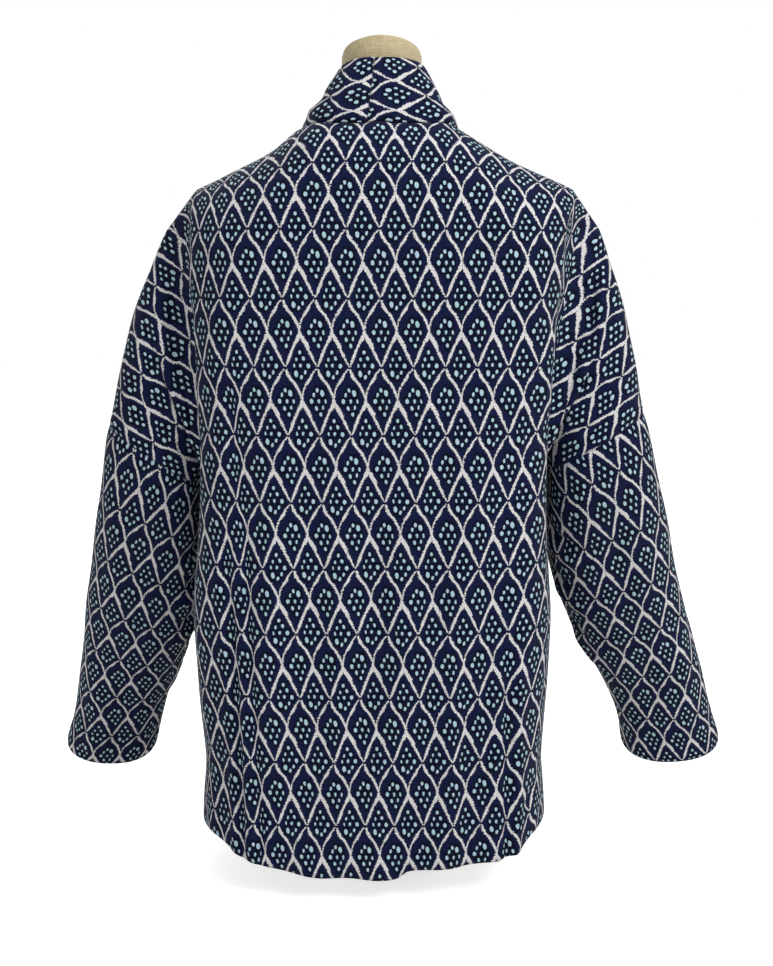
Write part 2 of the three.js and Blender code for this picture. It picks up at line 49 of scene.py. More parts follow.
def read(source, column, value):
    keys, values = source["key"], source[column]
    last = len(keys) - 1
    value = min(max(value, keys[0]), keys[last])
    i = min(max(bisect.bisect_left(keys, value) - 1, 0), last - 1)

    def slope(k):
        before, after = max(k - 1, 0), min(k + 1, last)
        return (values[after] - values[before]) / (keys[after] - keys[before])

    span = keys[i + 1] - keys[i]
    t = (value - keys[i]) / span
    t2, t3 = t * t, t * t * t
    return ((2 * t3 - 3 * t2 + 1) * values[i] + (t3 - 2 * t2 + t) * span * slope(i)
            + (3 * t2 - 2 * t3) * values[i + 1] + (t3 - t2) * span * slope(i + 1))


def mix(a, b, t):
    return a + (b - a) * t


def smooth(t):
    t = min(max(t, 0), 1)
    return t * t * (3 - 2 * t)


def power(value, exponent):
    return math.copysign(abs(value) ** exponent, value)


# The garment's own sizes in millimetres, the same as its solids
cut = {
    "yokeEnd": 640, "neckHalf": 83, "ridgeY": 8, "napeY": 90, "neckRound": 2.4,
    "yokeRound": {1: (3.0, 2.3), -1: (1.7, 2.1)},
    "shoulderHalf": 197, "middleUnderarm": 458, "foldShare": 0.75,
    "bandSeamHalf": 98, "bandEdgeHalf": 37, "bandTop": 632, "bandProud": 1, "collarMiddle": -1,
    "yokeRows": 6, "foldRow": 12, "lastRow": 23,
    "wingColumns": 8, "sideColumns": 3, "wingSpread": 0.85, "wingRound": (2.2, 2.5), "cuffRound": 2.2,
    "repeatAcross": 32.4, "repeatDown": 67.8,
    "crossingZ": 696.1,            # height of a crossing of the print
    "wingLag": 1.1,
}
trunk = table(
    "z middle fold side back front round",
    (20, 7, 174, 188, 145, 154, 3.6), (86, 7, 174, 187, 143, 153, 3.6), (136, 7, 173, 184, 142, 152, 3.6),
    (226, 8, 180, 191, 141, 149, 3.7), (306, 9, 184, 193, 141, 146, 3.8), (430, 8, 180, 184, 142, 140, 3.8),
    (546, 8, 181, 190, 142, 130, 3.8), (605, 7, 183, 193, 141, 123, 3.8), (641, 5, 186, 198, 140, 118, 3.7),
    (680, 3, 192, 205, 138, 112, 3.5), (738, -3, 197, 212, 130, 100, 3.2), (800, 2, 197, 212, 110, 80, 3.0))
shoulder = table("half z", (0, 818), (60, 811), (83, 798), (114, 777), (157, 756), (197, 738))
wingBulge = table("column depth", (0, 62), (1, 24), (2, 40), (3, 56), (5, 60), (8, 60))
arms = {
    "left": {
        "sign": 1, "underarm": 450,
        "outer": table("z x y", (738, 194, 7), (717, 214, 7), (696, 228, 6), (654, 247, 4), (590, 271, 0),
                       (524, 287, -6), (489, 296, -10)),
        "sleeve": table(
            "at outerX outerZ innerX innerZ y depth lean",
            (0, 296, 489, 196, 424, -9, 60, 0), (0.16, 311, 425, 201, 366, -33, 59, 6),
            (0.34, 329, 352, 206, 300, -68, 57, 12), (0.52, 347, 278, 222, 236, -103, 54, 18),
            (0.7, 362, 203, 248, 178, -137, 50, 22), (0.86, 377, 130, 269, 122, -165, 47, 25),
            (1, 394, 72, 283, 68, -186, 46, 26)),
    },
    "right": {
        "sign": -1, "underarm": 466,
        "outer": table("z x y", (738, 200, 7), (717, 219, 7), (696, 231, 6), (654, 246, 4), (590, 265, 0),
                       (524, 279, -6), (502, 284, -9)),
        "sleeve": table(
            "at outerX outerZ innerX innerZ y depth lean",
            (0, 284, 502, 181, 441, -9, 60, 0), (0.16, 304, 438, 184, 384, -31, 59, 6),
            (0.34, 327, 362, 193, 318, -64, 57, 12), (0.52, 350, 284, 218, 252, -100, 54, 18),
            (0.7, 378, 205, 253, 190, -136, 50, 22), (0.86, 401, 134, 285, 128, -165, 47, 25),
            (1, 420, 75, 299, 69, -186, 46, 26)),
    },
}
hem = {
    (1, 1): table("at z", (0, 28), (0.3, 31), (0.45, 37), (0.6, 47), (0.75, 61), (1, 66)),
    (1, -1): table("at z", (0, 28), (0.1, 29), (0.15, 36), (0.35, 40), (0.6, 47), (0.75, 62), (1, 70)),
    (-1, 1): table("at z", (0, 44), (0.75, 54), (1, 66)),
    (-1, -1): table("at z", (0, 46), (0.75, 57), (1, 70)),
}


def trunkY(facing, half, z):
    depth = read(trunk, "back" if facing > 0 else "front", z)
    roundness = read(trunk, "round", z)
    share = min(half / read(trunk, "side", z), 1)
    return facing * depth * (1 - share ** roundness) ** (1 / roundness)


def yokePoint(arm, facing, topHalf, turn):
    ridgeZ = read(shoulder, "z", topHalf)
    hangHalf = topHalf * read(trunk, "fold", cut["yokeEnd"]) / cut["shoulderHalf"]
    hangY = trunkY(facing, hangHalf, cut["yokeEnd"])
    roundness = mix(*cut["yokeRound"][facing], topHalf / cut["shoulderHalf"])
    angle = turn * math.pi / 2
    y = mix(cut["ridgeY"], hangY, math.sin(angle) ** (2 / roundness))
    z = cut["yokeEnd"] + (ridgeZ - cut["yokeEnd"]) * max(math.cos(angle), 0) ** (2 / roundness)
    half = mix(topHalf, hangHalf, 1 - math.cos(angle))
    return Vector((read(trunk, "middle", z) + arm["sign"] * half, y, z))


def napeTurn(topHalf):
    share = min(topHalf / cut["neckHalf"], 1)
    neckRound, deep = cut["neckRound"], cut["napeY"] - cut["ridgeY"]
    y = cut["ridgeY"] + deep * (1 - share ** neckRound) ** (1 / neckRound)
    hangHalf = topHalf * read(trunk, "fold", cut["yokeEnd"]) / cut["shoulderHalf"]
    roundness = mix(*cut["yokeRound"][1], topHalf / cut["shoulderHalf"])
    across = (y - cut["ridgeY"]) / (trunkY(1, hangHalf, cut["yokeEnd"]) - cut["ridgeY"])
    return math.asin(across ** (roundness / 2)) * 2 / math.pi


def hangPoint(arm, facing, share, row):
    meet = mix(cut["middleUnderarm"], arm["underarm"], share)
    if row <= cut["foldRow"]:
        z = mix(cut["yokeEnd"], meet, (row - cut["yokeRows"]) / (cut["foldRow"] - cut["yokeRows"]))
    else:
        down = (row - cut["foldRow"]) / (cut["lastRow"] - cut["foldRow"])
        z = mix(meet, read(hem[facing, arm["sign"]], "z", share * cut["foldShare"]), down)
    fold = read(trunk, "fold", z)
    half = share * fold if facing > 0 else mix(cut["bandSeamHalf"], fold, share)
    return Vector((read(trunk, "middle", z) + arm["sign"] * half, trunkY(facing, half, z), z))


def panelPoint(arm, facing, share, row):
    if row >= cut["yokeRows"]:
        return hangPoint(arm, facing, share, row)
    topHalf = mix(0 if facing > 0 else cut["neckHalf"], cut["shoulderHalf"], share)
    start = napeTurn(topHalf) if facing > 0 and topHalf < cut["neckHalf"] else 0
    part = row / cut["yokeRows"]
    point = yokePoint(arm, facing, topHalf, mix(start, 1, part))
    point.x = mix(point.x, hangPoint(arm, facing, share, cut["yokeRows"]).x, part ** 2)
    return point


def sidePoint(arm, facing, share, row):
    down = (row - cut["foldRow"]) / (cut["lastRow"] - cut["foldRow"])
    hemZ = read(hem[facing, arm["sign"]], "z", mix(cut["foldShare"], 1, share))
    z = mix(arm["underarm"], hemZ, down)
    side, fold, roundness = (read(trunk, name, z) for name in ("side", "fold", "round"))
    start = math.asin((fold / side) ** (roundness / 2))
    angle = mix(start, math.pi / 2, share)
    half = side * math.sin(angle) ** (2 / roundness)
    depth = read(trunk, "back" if facing > 0 else "front", z)
    y = facing * depth * max(math.cos(angle), 0) ** (2 / roundness)
    return Vector((read(trunk, "middle", z) + arm["sign"] * half, y, z))


def wingPoint(arm, facing, column, row):
    reach = column / cut["wingColumns"]
    outer, seam = arm["outer"], arm["sleeve"]
    topZ = mix(outer["key"][-1], outer["key"][0], reach ** cut["wingSpread"])
    top = Vector((arm["sign"] * read(outer, "x", topZ), read(outer, "y", topZ), topZ))
    bottom = sidePoint(arm, facing, min(column / cut["sideColumns"], 1), cut["foldRow"])
    seamBottom = Vector((arm["sign"] * seam["innerX"][0], seam["y"][0], seam["innerZ"][0]))
    past = max(column - cut["sideColumns"], 0) / (cut["wingColumns"] - cut["sideColumns"])
    bottom = bottom.lerp(seamBottom, past)
    roundness = mix(*cut["wingRound"], reach)
    angle = (row / cut["foldRow"]) ** cut["wingLag"] * math.pi
    point = (top + bottom) / 2 + (top - bottom) / 2 * power(math.cos(angle), 2 / roundness)
    point.y += facing * read(wingBulge, "depth", column) * abs(math.sin(angle)) ** (2 / roundness)
    return point


def sleevePoint(arm, share, angle):
    names = ("outerX", "outerZ", "innerX", "innerZ", "y", "depth", "lean")
    row = {name: read(arm["sleeve"], name, share) for name in names}
    lean = math.radians(row["lean"])
    outer = Vector((arm["sign"] * row["outerX"], row["y"], row["outerZ"]))
    inner = Vector((arm["sign"] * row["innerX"], row["y"], row["innerZ"]))
    roundness = mix(cut["wingRound"][1], cut["cuffRound"], share)
    point = (outer + inner) / 2 + (outer - inner) / 2 * power(math.cos(angle), 2 / roundness)
    out = power(math.sin(angle), 2 / roundness) * row["depth"]
    point.y += out * math.cos(lean)
    point.z -= out * math.sin(lean)
    return point


# Folds: each runs along a short path on its piece, wide and high in millimetres, fading at both ends
def foldHeight(folds, a, b):
    height = 0
    for fold in folds:
        path, wide, high = fold["path"], fold["wide"], fold["high"]
        reach = 3 * wide
        best, along, side, total = reach, 0, 0, 0
        for (a0, b0), (a1, b1) in zip(path, path[1:]):
            da, db = a1 - a0, b1 - b0
            length = math.hypot(da, db)
            t = min(max(((a - a0) * da + (b - b0) * db) / (length * length), 0), 1)
            gap = math.hypot(a - a0 - da * t, b - b0 - db * t)
            if gap < best:
                best, along = gap, total + t * length
                side = 1 if (a - a0) * db - (b - b0) * da > 0 else -1
            total += length
        if best < reach:
            t = along / total
            fade = smooth(min(t / fold.get("fadeIn", 0.35), (1 - t) / fold.get("fadeOut", 0.35), 1))
            sharp = fold.get("sharp", 0) * side
            width = wide * (1 - 0.55 * sharp)
            height += high * fade * math.exp(-(best / width) ** 2)
    return height


def wave(*terms):
    return sum(high * math.sin(phase + turns) for high, phase, turns in terms)


# Turns a grid of points into normals by central differences
def gridNormals(grid, wrap, flip):
    rows, columns = len(grid), len(grid[0])
    normals = [[None] * columns for _ in range(rows)]
    for i in range(rows):
        for j in range(columns):
            if grid[i][j] is None:
                continue

            def at(p, q):
                q = q % columns if wrap else q
                return grid[p][q] if 0 <= p < rows and 0 <= q < columns else None

            here = grid[i][j]
            up, down = at(i - 1, j) or here, at(i + 1, j) or here
            before, after = at(i, j - 1) or here, at(i, j + 1) or here
            normal = (down - up).cross(after - before)
            if normal.length < 1e-9:
                normal = Vector((0, 1, 0))
            normals[i][j] = normal.normalized() * (-1 if flip else 1)
    return normals


# Mesh of a grid with a UV for every corner, then a thin wall behind it
def clothPiece(name, grid, cornerUv, wrap=False, flip=False, wall=1.1):
    rows, columns = len(grid), len(grid[0])
    index, points = {}, []
    for i in range(rows):
        for j in range(columns):
            if grid[i][j] is not None:
                index[i, j] = len(points)
                points.append(grid[i][j] * mm)
    faces, uvs = [], []
    for i in range(rows - 1):
        for j in range(columns if wrap else columns - 1):
            corners = [(i, j), (i + 1, j), (i + 1, j + 1), (i, j + 1)]
            keys = [(p, q % columns) for p, q in corners]
            if all(key in index for key in keys):
                corner = list(zip(keys, corners))
                if flip:
                    corner.reverse()
                faces.append([index[key] for key, _ in corner])
                uvs += [cornerUv(i, j, p, q) for _, (p, q) in corner]
    mesh = bpy.data.meshes.new(name)
    mesh.from_pydata(points, [], faces)
    layer = mesh.uv_layers.new(name="cloth")
    for loop, uv in zip(layer.data, uvs):
        loop.uv = uv
    mesh.shade_smooth()
    piece = bpy.data.objects.new(name, mesh)
    bpy.context.scene.collection.objects.link(piece)
    solid = piece.modifiers.new("wall", "SOLIDIFY")
    solid.thickness = wall * mm
    solid.offset = -1
    return piece


def ramp(value, low, high):
    return smooth((value - low) / (high - low))


# Back and fronts
body = {
    "yokeSteps": 6, "chestSteps": 6, "skirtSteps": 7,
    "panelSteps": 42, "tuckSteps": 12, "wingSteps": 5,
    "split": 0.55,                 # the print breaks here, at the bottom of the tuck beside the arm
    "seamDip": 1.0, "seamWide": 2.6,
    "foldDepth": 1.35, "flutes": 2.4,
    "wall": 1.1,
}
# How far the cloth between two print columns is taken in by soft pleats, by height
takenIn = table("z share", (20, 0.925), (155, 0.935), (222, 0.94), (290, 0.955), (424, 0.965), (560, 0.975),
                (640, 0.99), (696, 1.0), (820, 1.0))
# Middle column of the print on the back, by height
printMiddle = table("z x", (20, -16), (155, -13.2), (222, -9.6), (290, -7), (356, -5.6), (424, -3.8),
                    (492, -2.2), (560, -0.4), (628, 0.7), (696, 1.8), (818, 2.5))
# How much more cloth than width there is out towards each arm
takenRound = {
    1: table("flat more", (0, 0), (130, 0), (150, 1.5), (165, 5), (180, 12), (195, 18), (260, 18)),
    -1: table("flat more", (0, 0), (150, 0), (170, 1.5), (185, 5), (195, 7), (260, 7)),
}
# Standing pleats of the skirt hide some cloth each: where they hang, by height
pleats = {
    1: [dict(course=table("z x", (34, 125), (190, 132), (330, 138), (450, 145), (560, 148)),
             take=6, wide=11, top=590),
        dict(course=table("z x", (34, 142), (190, 149), (330, 156), (450, 159)), take=5.5, wide=11, top=450)],
    -1: [dict(course=table("z x", (34, -130), (290, -130)), take=5, wide=10, top=300)],
}
# Where a crossing of the print falls on each dropped shoulder, and how the cut cloth lies there
shoulderPrint = {
    1: {"x": 226.2, "z": 566.4, "across": (0.862, -0.579), "down": (-0.650, -0.851), "level": 0.42},
    -1: {"x": 227.3, "z": 563.3, "across": (0.862, -0.579), "down": (-0.650, -0.851), "level": 0.42},
}

backFolds = [
    # a nested pair that runs down from under the left arm
    dict(path=[(141, 450), (138, 330), (132, 190), (125, 34)], wide=5, high=-3.6, fadeOut=0.06),
    dict(path=[(149, 450), (146, 330), (140, 190), (133, 34)], wide=6, high=3.6, sharp=0.5, fadeOut=0.06),
    dict(path=[(159, 430), (156, 330), (149, 190), (142, 34)], wide=4.5, high=-2.8, fadeOut=0.06),
    dict(path=[(167, 430), (164, 330), (158, 190), (150, 34)], wide=6, high=3.0, sharp=0.5, fadeOut=0.06),
    dict(path=[(112, 400), (110, 260), (106, 130), (103, 34)], wide=9, high=1.8, fadeOut=0.06),
    # right side, low down
    dict(path=[(-130, 290), (-130, 160), (-130, 34)], wide=4.5, high=-3.8, fadeOut=0.06),
    dict(path=[(-139, 300), (-139, 160), (-139, 34)], wide=6, high=3.4, sharp=-0.5, fadeOut=0.06),
    dict(path=[(-118, 300), (-118, 170), (-118, 34)], wide=8, high=2.0, fadeOut=0.06),
    dict(path=[(-166, 118), (-156, 98), (-147, 84)], wide=4.5, high=-3.0),
    dict(path=[(-87, 300), (-87, 170), (-88, 36)], wide=6, high=-2.8, fadeOut=0.06),
    dict(path=[(-74, 260), (-73, 150), (-75, 36)], wide=10, high=1.8, fadeOut=0.06),
    # soft flutes in the middle
    dict(path=[(62, 430), (64, 250), (67, 32)], wide=13, high=-2.4, fadeOut=0.06),
    dict(path=[(36, 380), (38, 220), (40, 30)], wide=14, high=2.0, fadeOut=0.06),
    dict(path=[(2, 420), (0, 240), (-2, 30)], wide=13, high=-2.2, fadeOut=0.06),
    dict(path=[(-32, 400), (-34, 240), (-36, 30)], wide=14, high=2.0, fadeOut=0.06),
    dict(path=[(86, 470), (88, 280), (90, 32)], wide=12, high=1.8, fadeOut=0.06),
    # the yoke, from the neck out to the arms
    dict(path=[(70, 770), (110, 715), (150, 640), (164, 560)], wide=13, high=2.0),
    dict(path=[(-72, 768), (-112, 715), (-150, 640), (-166, 555)], wide=13, high=2.2),
    dict(path=[(52, 764), (84, 700), (112, 620)], wide=14, high=-1.5),
    dict(path=[(-54, 764), (-86, 700), (-112, 620)], wide=14, high=-1.6),
    dict(path=[(158, 560), (150, 500), (140, 440)], wide=8, high=-2.2),
    dict(path=[(-160, 560), (-152, 500), (-146, 440)], wide=8, high=-2.0),
    dict(path=[(170, 640), (165, 600), (166, 540)], wide=6, high=2.0),
    dict(path=[(-172, 600), (-166, 560), (-168, 500)], wide=6, high=2.0),
]
frontFolds = [
    dict(path=[(140, 700), (146, 560), (150, 420)], wide=11, high=3.0),
    dict(path=[(126, 690), (130, 540), (132, 380)], wide=10, high=-2.4),
    dict(path=[(152, 420), (150, 260), (153, 50)], wide=9, high=3.6, fadeOut=0.06),
    dict(path=[(137, 400), (134, 240), (136, 50)], wide=8, high=-2.8, fadeOut=0.06),
    dict(path=[(118, 340), (118, 200), (121, 50)], wide=10, high=2.2, fadeOut=0.06),
    dict(path=[(-138, 710), (-142, 560), (-146, 400)], wide=11, high=3.0),
    dict(path=[(-122, 690), (-126, 520), (-128, 380)], wide=10, high=-2.2),
    dict(path=[(-140, 360), (-138, 220), (-142, 50)], wide=9, high=3.6, fadeOut=0.06),
    dict(path=[(-124, 380), (-122, 240), (-125, 50)], wide=8, high=-2.6, fadeOut=0.06),
]
# Folds of the dropped shoulders, in column 1 to 8 times ten and in row 0 to 12 times ten
wingFolds = {
    1: [
        dict(path=[(18, 30), (26, 60), (40, 88)], wide=4.5, high=2.6),
        dict(path=[(12, 36), (16, 62), (26, 84)], wide=3.5, high=-2.6),
        dict(path=[(34, 40), (44, 66), (60, 84)], wide=6, high=-1.6),
        dict(path=[(58, 22), (64, 46), (74, 66)], wide=6, high=1.4),
    ],
    -1: [
        dict(path=[(14, 26), (20, 44), (34, 58)], wide=3.6, high=3.4),
        dict(path=[(10, 34), (16, 52), (28, 66)], wide=3.0, high=-3.2),
        dict(path=[(18, 54), (28, 70), (44, 86)], wide=4.4, high=3.0),
        dict(path=[(12, 64), (20, 82), (34, 98)], wide=3.4, high=-2.8),
        dict(path=[(36, 34), (48, 56), (62, 74)], wide=6, high=-1.8),
        dict(path=[(60, 24), (66, 44), (76, 62)], wide=6, high=1.5),
    ],
}


def halfGrid(arm, facing):
    rows = []
    for start, end, steps in ((0, cut["yokeRows"], body["yokeSteps"]),
                              (cut["yokeRows"], cut["foldRow"], body["chestSteps"]),
                              (cut["foldRow"], cut["lastRow"], body["skirtSteps"])):
        rows += [start + k / steps for k in range((end - start) * steps)]
    rows.append(cut["lastRow"])
    columns = [("panel", k / body["panelSteps"]) for k in range(body["panelSteps"] + 1)]
    columns += [("wing", k / body["tuckSteps"]) for k in range(1, body["tuckSteps"] + 1)]
    wings = (cut["wingColumns"] - 1) * body["wingSteps"]
    columns += [("wing", 1 + k / body["wingSteps"]) for k in range(1, wings + 1)]
    grid = []
    for row in rows:
        line = []
        edge = panelPoint(arm, facing, 1, row)
        inside = panelPoint(arm, facing, 0.975, row)
        for kind, at in columns:
            if kind == "panel":
                line.append(panelPoint(arm, facing, at, row))
            elif row > cut["foldRow"]:
                line.append(sidePoint(arm, facing, at / cut["sideColumns"], row)
                            if at <= cut["sideColumns"] else None)
            elif at <= 1:
                line.append(tuckPoint(arm, facing, edge, edge - inside, at, row))
            else:
                line.append(wingPoint(arm, facing, at, row))
        grid.append(line)
    return rows, columns, grid


# The panel's edge rolls in behind itself before the shoulder cloth comes out again;
# rows where it opens and closes, then how the roll leaves and arrives
tuck = {
    "opens": (0.2, 3), "closes": (10.4, 12),
    "leave": 26, "leaveOut": 6, "leaveIn": 16, "arrive": 4, "arriveOut": 26, "arriveIn": 10,
    "hollow": 5.5,
}


def tuckPoint(arm, facing, edge, leaving, at, row):
    arrive = wingPoint(arm, facing, 1, row)
    beyond = wingPoint(arm, facing, 1.25, row)
    deep = ramp(row, *tuck["opens"]) * (1 - ramp(row, *tuck["closes"]))
    straight = edge.lerp(arrive, at)
    if deep <= 0:
        return straight
    start = leaving.normalized() * tuck["leave"]
    start.x += arm["sign"] * tuck["leaveOut"]
    start.y -= facing * tuck["leaveIn"]
    end = (beyond - arrive) * tuck["arrive"]
    end += Vector((arm["sign"] * tuck["arriveOut"], facing * tuck["arriveIn"], 0))
    t2, t3 = at * at, at * at * at
    bent = ((2 * t3 - 3 * t2 + 1) * edge + (t3 - 2 * t2 + at) * start
            + (3 * t2 - 2 * t3) * arrive + (t3 - t2) * end)
    bent.x -= arm["sign"] * tuck["hollow"] * math.sin(math.pi * at) ** 2
    return straight.lerp(bent, deep)


def gaps(line):
    total, out = 0, [0]
    for before, after in zip(line, line[1:]):
        total += (after - before).length
        out.append(total)
    return out


def pleated(arm, point):
    hidden = 0
    for pleat in pleats[arm["sign"]]:
        past = arm["sign"] * (point.x - read(pleat["course"], "x", point.z))
        hidden += pleat["take"] * smooth(past / pleat["wide"] + 0.5) * ramp(pleat["top"] - point.z, 0, 90)
    return hidden


# Print places of the panel in repeats, by width across and arc down
def panelPrint(rows, columns, grid, arm, facing):
    place = {}
    restRow = min(range(len(rows)), key=lambda i: abs(rows[i] - cut["yokeRows"]))
    filled = [[p for p in line if p is not None] for line in grid]
    across = [gaps(line) for line in filled]
    down = {}
    for j in range(len(columns)):
        column = [line[j] for line in grid if line[j] is not None]
        arcs = gaps(column)
        for i, arc in enumerate(arcs):
            down[i, j] = arc
    for i, line in enumerate(grid):
        for j, point in enumerate(line):
            if point is None:
                continue
            share = read(takenIn, "share", point.z)
            if facing > 0:
                trunkMiddle = read(trunk, "middle", point.z)
                flat = arm["sign"] * (point.x - trunkMiddle)
                if columns[j][0] == "wing":
                    edge = arm["sign"] * (line[body["panelSteps"]].x - trunkMiddle)
                    flat = edge + across[i][j] - across[i][body["panelSteps"]]
                reach = flat + read(takenRound[arm["sign"]], "more", flat) + pleated(arm, point)
                middle = trunkMiddle - read(printMiddle, "x", point.z)
                u = -(arm["sign"] * reach / share + middle) / cut["repeatAcross"]
            else:
                u = -arm["sign"] * (cut["bandSeamHalf"] + across[i][j]) / cut["repeatAcross"] + 0.5
            v = (down[i, j] - down[restRow, j] + cut["crossingZ"] - grid[restRow][j].z) / cut["repeatDown"]
            place[i, j] = (u, v)
    return place


# Print places of the dropped shoulder: a straight map where the cloth lies flat,
# arc lengths where it turns away
def wingPrint(columns, rows, grid, arm, normals):
    place = {}
    first = next(j for j, (kind, at) in enumerate(columns) if kind == "wing" and at >= 1)
    foldIndex = next(i for i, row in enumerate(rows) if row >= cut["foldRow"])
    turned = shoulderPrint[arm["sign"]]

    def flat(point):
        dx, dz = arm["sign"] * point.x - turned["x"], point.z - turned["z"]
        return Vector((turned["across"][0] * dx + turned["across"][1] * dz,
                       turned["down"][0] * dx + turned["down"][1] * dz))

    for j in range(first, len(columns)):
        ring = [grid[i][j] for i in range(foldIndex + 1)]
        arcs = gaps(ring)
        level = [i for i in range(foldIndex + 1) if abs(normals[i][j].y) > turned["level"]]
        low, high = level[0], level[-1]
        for i in range(foldIndex + 1):
            if i < low:
                start, heading = low, flat(ring[low]) - flat(ring[low + 3])
            elif i > high:
                start, heading = high, flat(ring[high]) - flat(ring[high - 3])
            else:
                place[i, j] = flat(ring[i])
                continue
            place[i, j] = flat(ring[start]) + heading.normalized() * abs(arcs[i] - arcs[start])
    for j in range(first - 1, -1, -1):
        if columns[j][0] == "panel":
            break
        for i in range(foldIndex + 1):
            step = place[i, first] - place[i, first + 2]
            if step.length < 1:
                step = Vector((-1, 0))
            place[i, j] = place[i, j + 1] + step.normalized() * (grid[i][j + 1] - grid[i][j]).length
    return {key: (-arm["sign"] * value.x / cut["repeatAcross"], value.y / cut["repeatDown"])
            for key, value in place.items()}


def dressHalf(arm, facing):
    rows, columns, grid = halfGrid(arm, facing)
    normals = gridNormals(grid, False, arm["sign"] * facing > 0)
    sheet = panelPrint(rows, columns, grid, arm, facing)
    fan = wingPrint(columns, rows, grid, arm, normals)
    folds = backFolds if facing > 0 else frontFolds
    lastColumn = len(columns) - 1
    sideColumn = next(j for j, (kind, at) in enumerate(columns)
                      if kind == "wing" and at >= cut["sideColumns"])
    moved = []
    for i, line in enumerate(grid):
        row, out = rows[i], []
        for j, point in enumerate(line):
            if point is None:
                out.append(None)
                continue
            kind, at = columns[j]
            across = 1 - ramp(at, 0.0, 0.5) if kind == "wing" and row <= cut["foldRow"] else 1
            rise = foldHeight(folds, point.x, point.z) * across * body["foldDepth"]
            if kind == "panel" or row > cut["foldRow"]:
                low = ramp(640 - point.z, 0, 420)
                rise += across * wave((0.5 + body["flutes"] * low, point.x / 10.5, 1.1 + point.z / 160),
                                      (0.6, point.x / 23, point.z / 70), (0.4, point.z / 21, point.x / 31))
            else:
                rise += foldHeight(wingFolds[arm["sign"]], at * 10, row * 10) * ramp(at, 0.5, 1.2)
                rise += 0.5 * math.sin(at * 2.1 + row * 0.9) * ramp(at, 1, 2)
            freedom = min(ramp(j, 0, 3) if facing < 0 else 1, ramp(i, 0, 4))
            if row <= cut["foldRow"]:
                freedom = min(freedom, ramp(lastColumn - j, 0, 4))
                if kind == "wing":
                    freedom = min(freedom, ramp(cut["foldRow"] - row, 0, 0.8))
            else:
                freedom = min(freedom, ramp(sideColumn - j, 0, 3))
            out.append(point + normals[i][j] * rise * freedom)
        moved.append(out)
    sewSeams(rows, columns, moved, normals, facing, sideColumn)
    return rows, columns, moved, sheet, fan


# Sewn edges turn in a little where two pieces meet
def sewSeams(rows, columns, grid, normals, facing, sideColumn):
    def dip(i, j, gap):
        if grid[i][j] is not None:
            deep = body["seamDip"] * math.exp(-(gap / body["seamWide"]) ** 2)
            grid[i][j] = grid[i][j] - normals[i][j] * deep

    lastColumn = len(columns) - 1
    for i, row in enumerate(rows):
        ends = [(lastColumn, -1)] if row <= cut["foldRow"] else [(sideColumn, -1)]
        if facing < 0:
            ends.append((0, 1))
        for end, step in ends:
            gap, j = 0, end
            for _ in range(3):
                dip(i, j, gap)
                if grid[i][j] is None or grid[i][j + step] is None:
                    break
                gap += (grid[i][j + step] - grid[i][j]).length
                j += step
    for j in range(lastColumn):
        gap = 0
        for i in range(3):
            dip(i, j, gap)
            gap += (grid[i + 1][j] - grid[i][j]).length


def makeBack():
    halves = {}
    for side, arm in arms.items():
        halves[side] = dressHalf(arm, 1)
    rows, columns, left, leftSheet, leftFan = halves["left"]
    _, _, right, rightSheet, rightFan = halves["right"]
    last = len(columns) - 1
    grid = []
    for i in range(len(rows)):
        middle = (left[i][0] + right[i][0]) / 2
        grid.append(list(reversed(left[i][1:])) + [middle] + right[i][1:])

    def uv(i, j, p, q):
        onLeft = j < last
        column = last - j - 1 if onLeft else j - last
        kind, at = columns[column]
        corner = abs(q - last)
        sheet, fan = (leftSheet, leftFan) if onLeft else (rightSheet, rightFan)
        if kind == "wing" and at >= body["split"] and rows[i] < cut["foldRow"] and (p, corner) in fan:
            return fan[p, corner]
        return sheet[p, corner]

    return clothPiece("back_panel", grid, uv, flip=False, wall=body["wall"])


def makeFront(side):
    arm = arms[side]
    rows, columns, grid, sheet, fan = dressHalf(arm, -1)

    def uv(i, j, p, q):
        kind, at = columns[j]
        if kind == "wing" and at >= body["split"] and rows[i] < cut["foldRow"] and (p, q) in fan:
            return fan[p, q]
        return sheet[p, q]

    return clothPiece("front_panel_" + side, grid, uv, flip=arm["sign"] < 0, wall=body["wall"])


# Sleeves
sleeve = {
    "rows": 104, "sides": 112, "wall": 1.1,
    "foldDepth": 1.4, "frontFolds": 0.8, "ripple": 0.5,
    "hemRaise": 0.5, "hemFrom": 20, "hemTo": 23,     # the cuff's hem stands out a little
    "cuffDip": (0.9, 1.6), "underDip": (0.8, 2.2),   # at the cuff's edge and the seam underneath: deep, wide
}
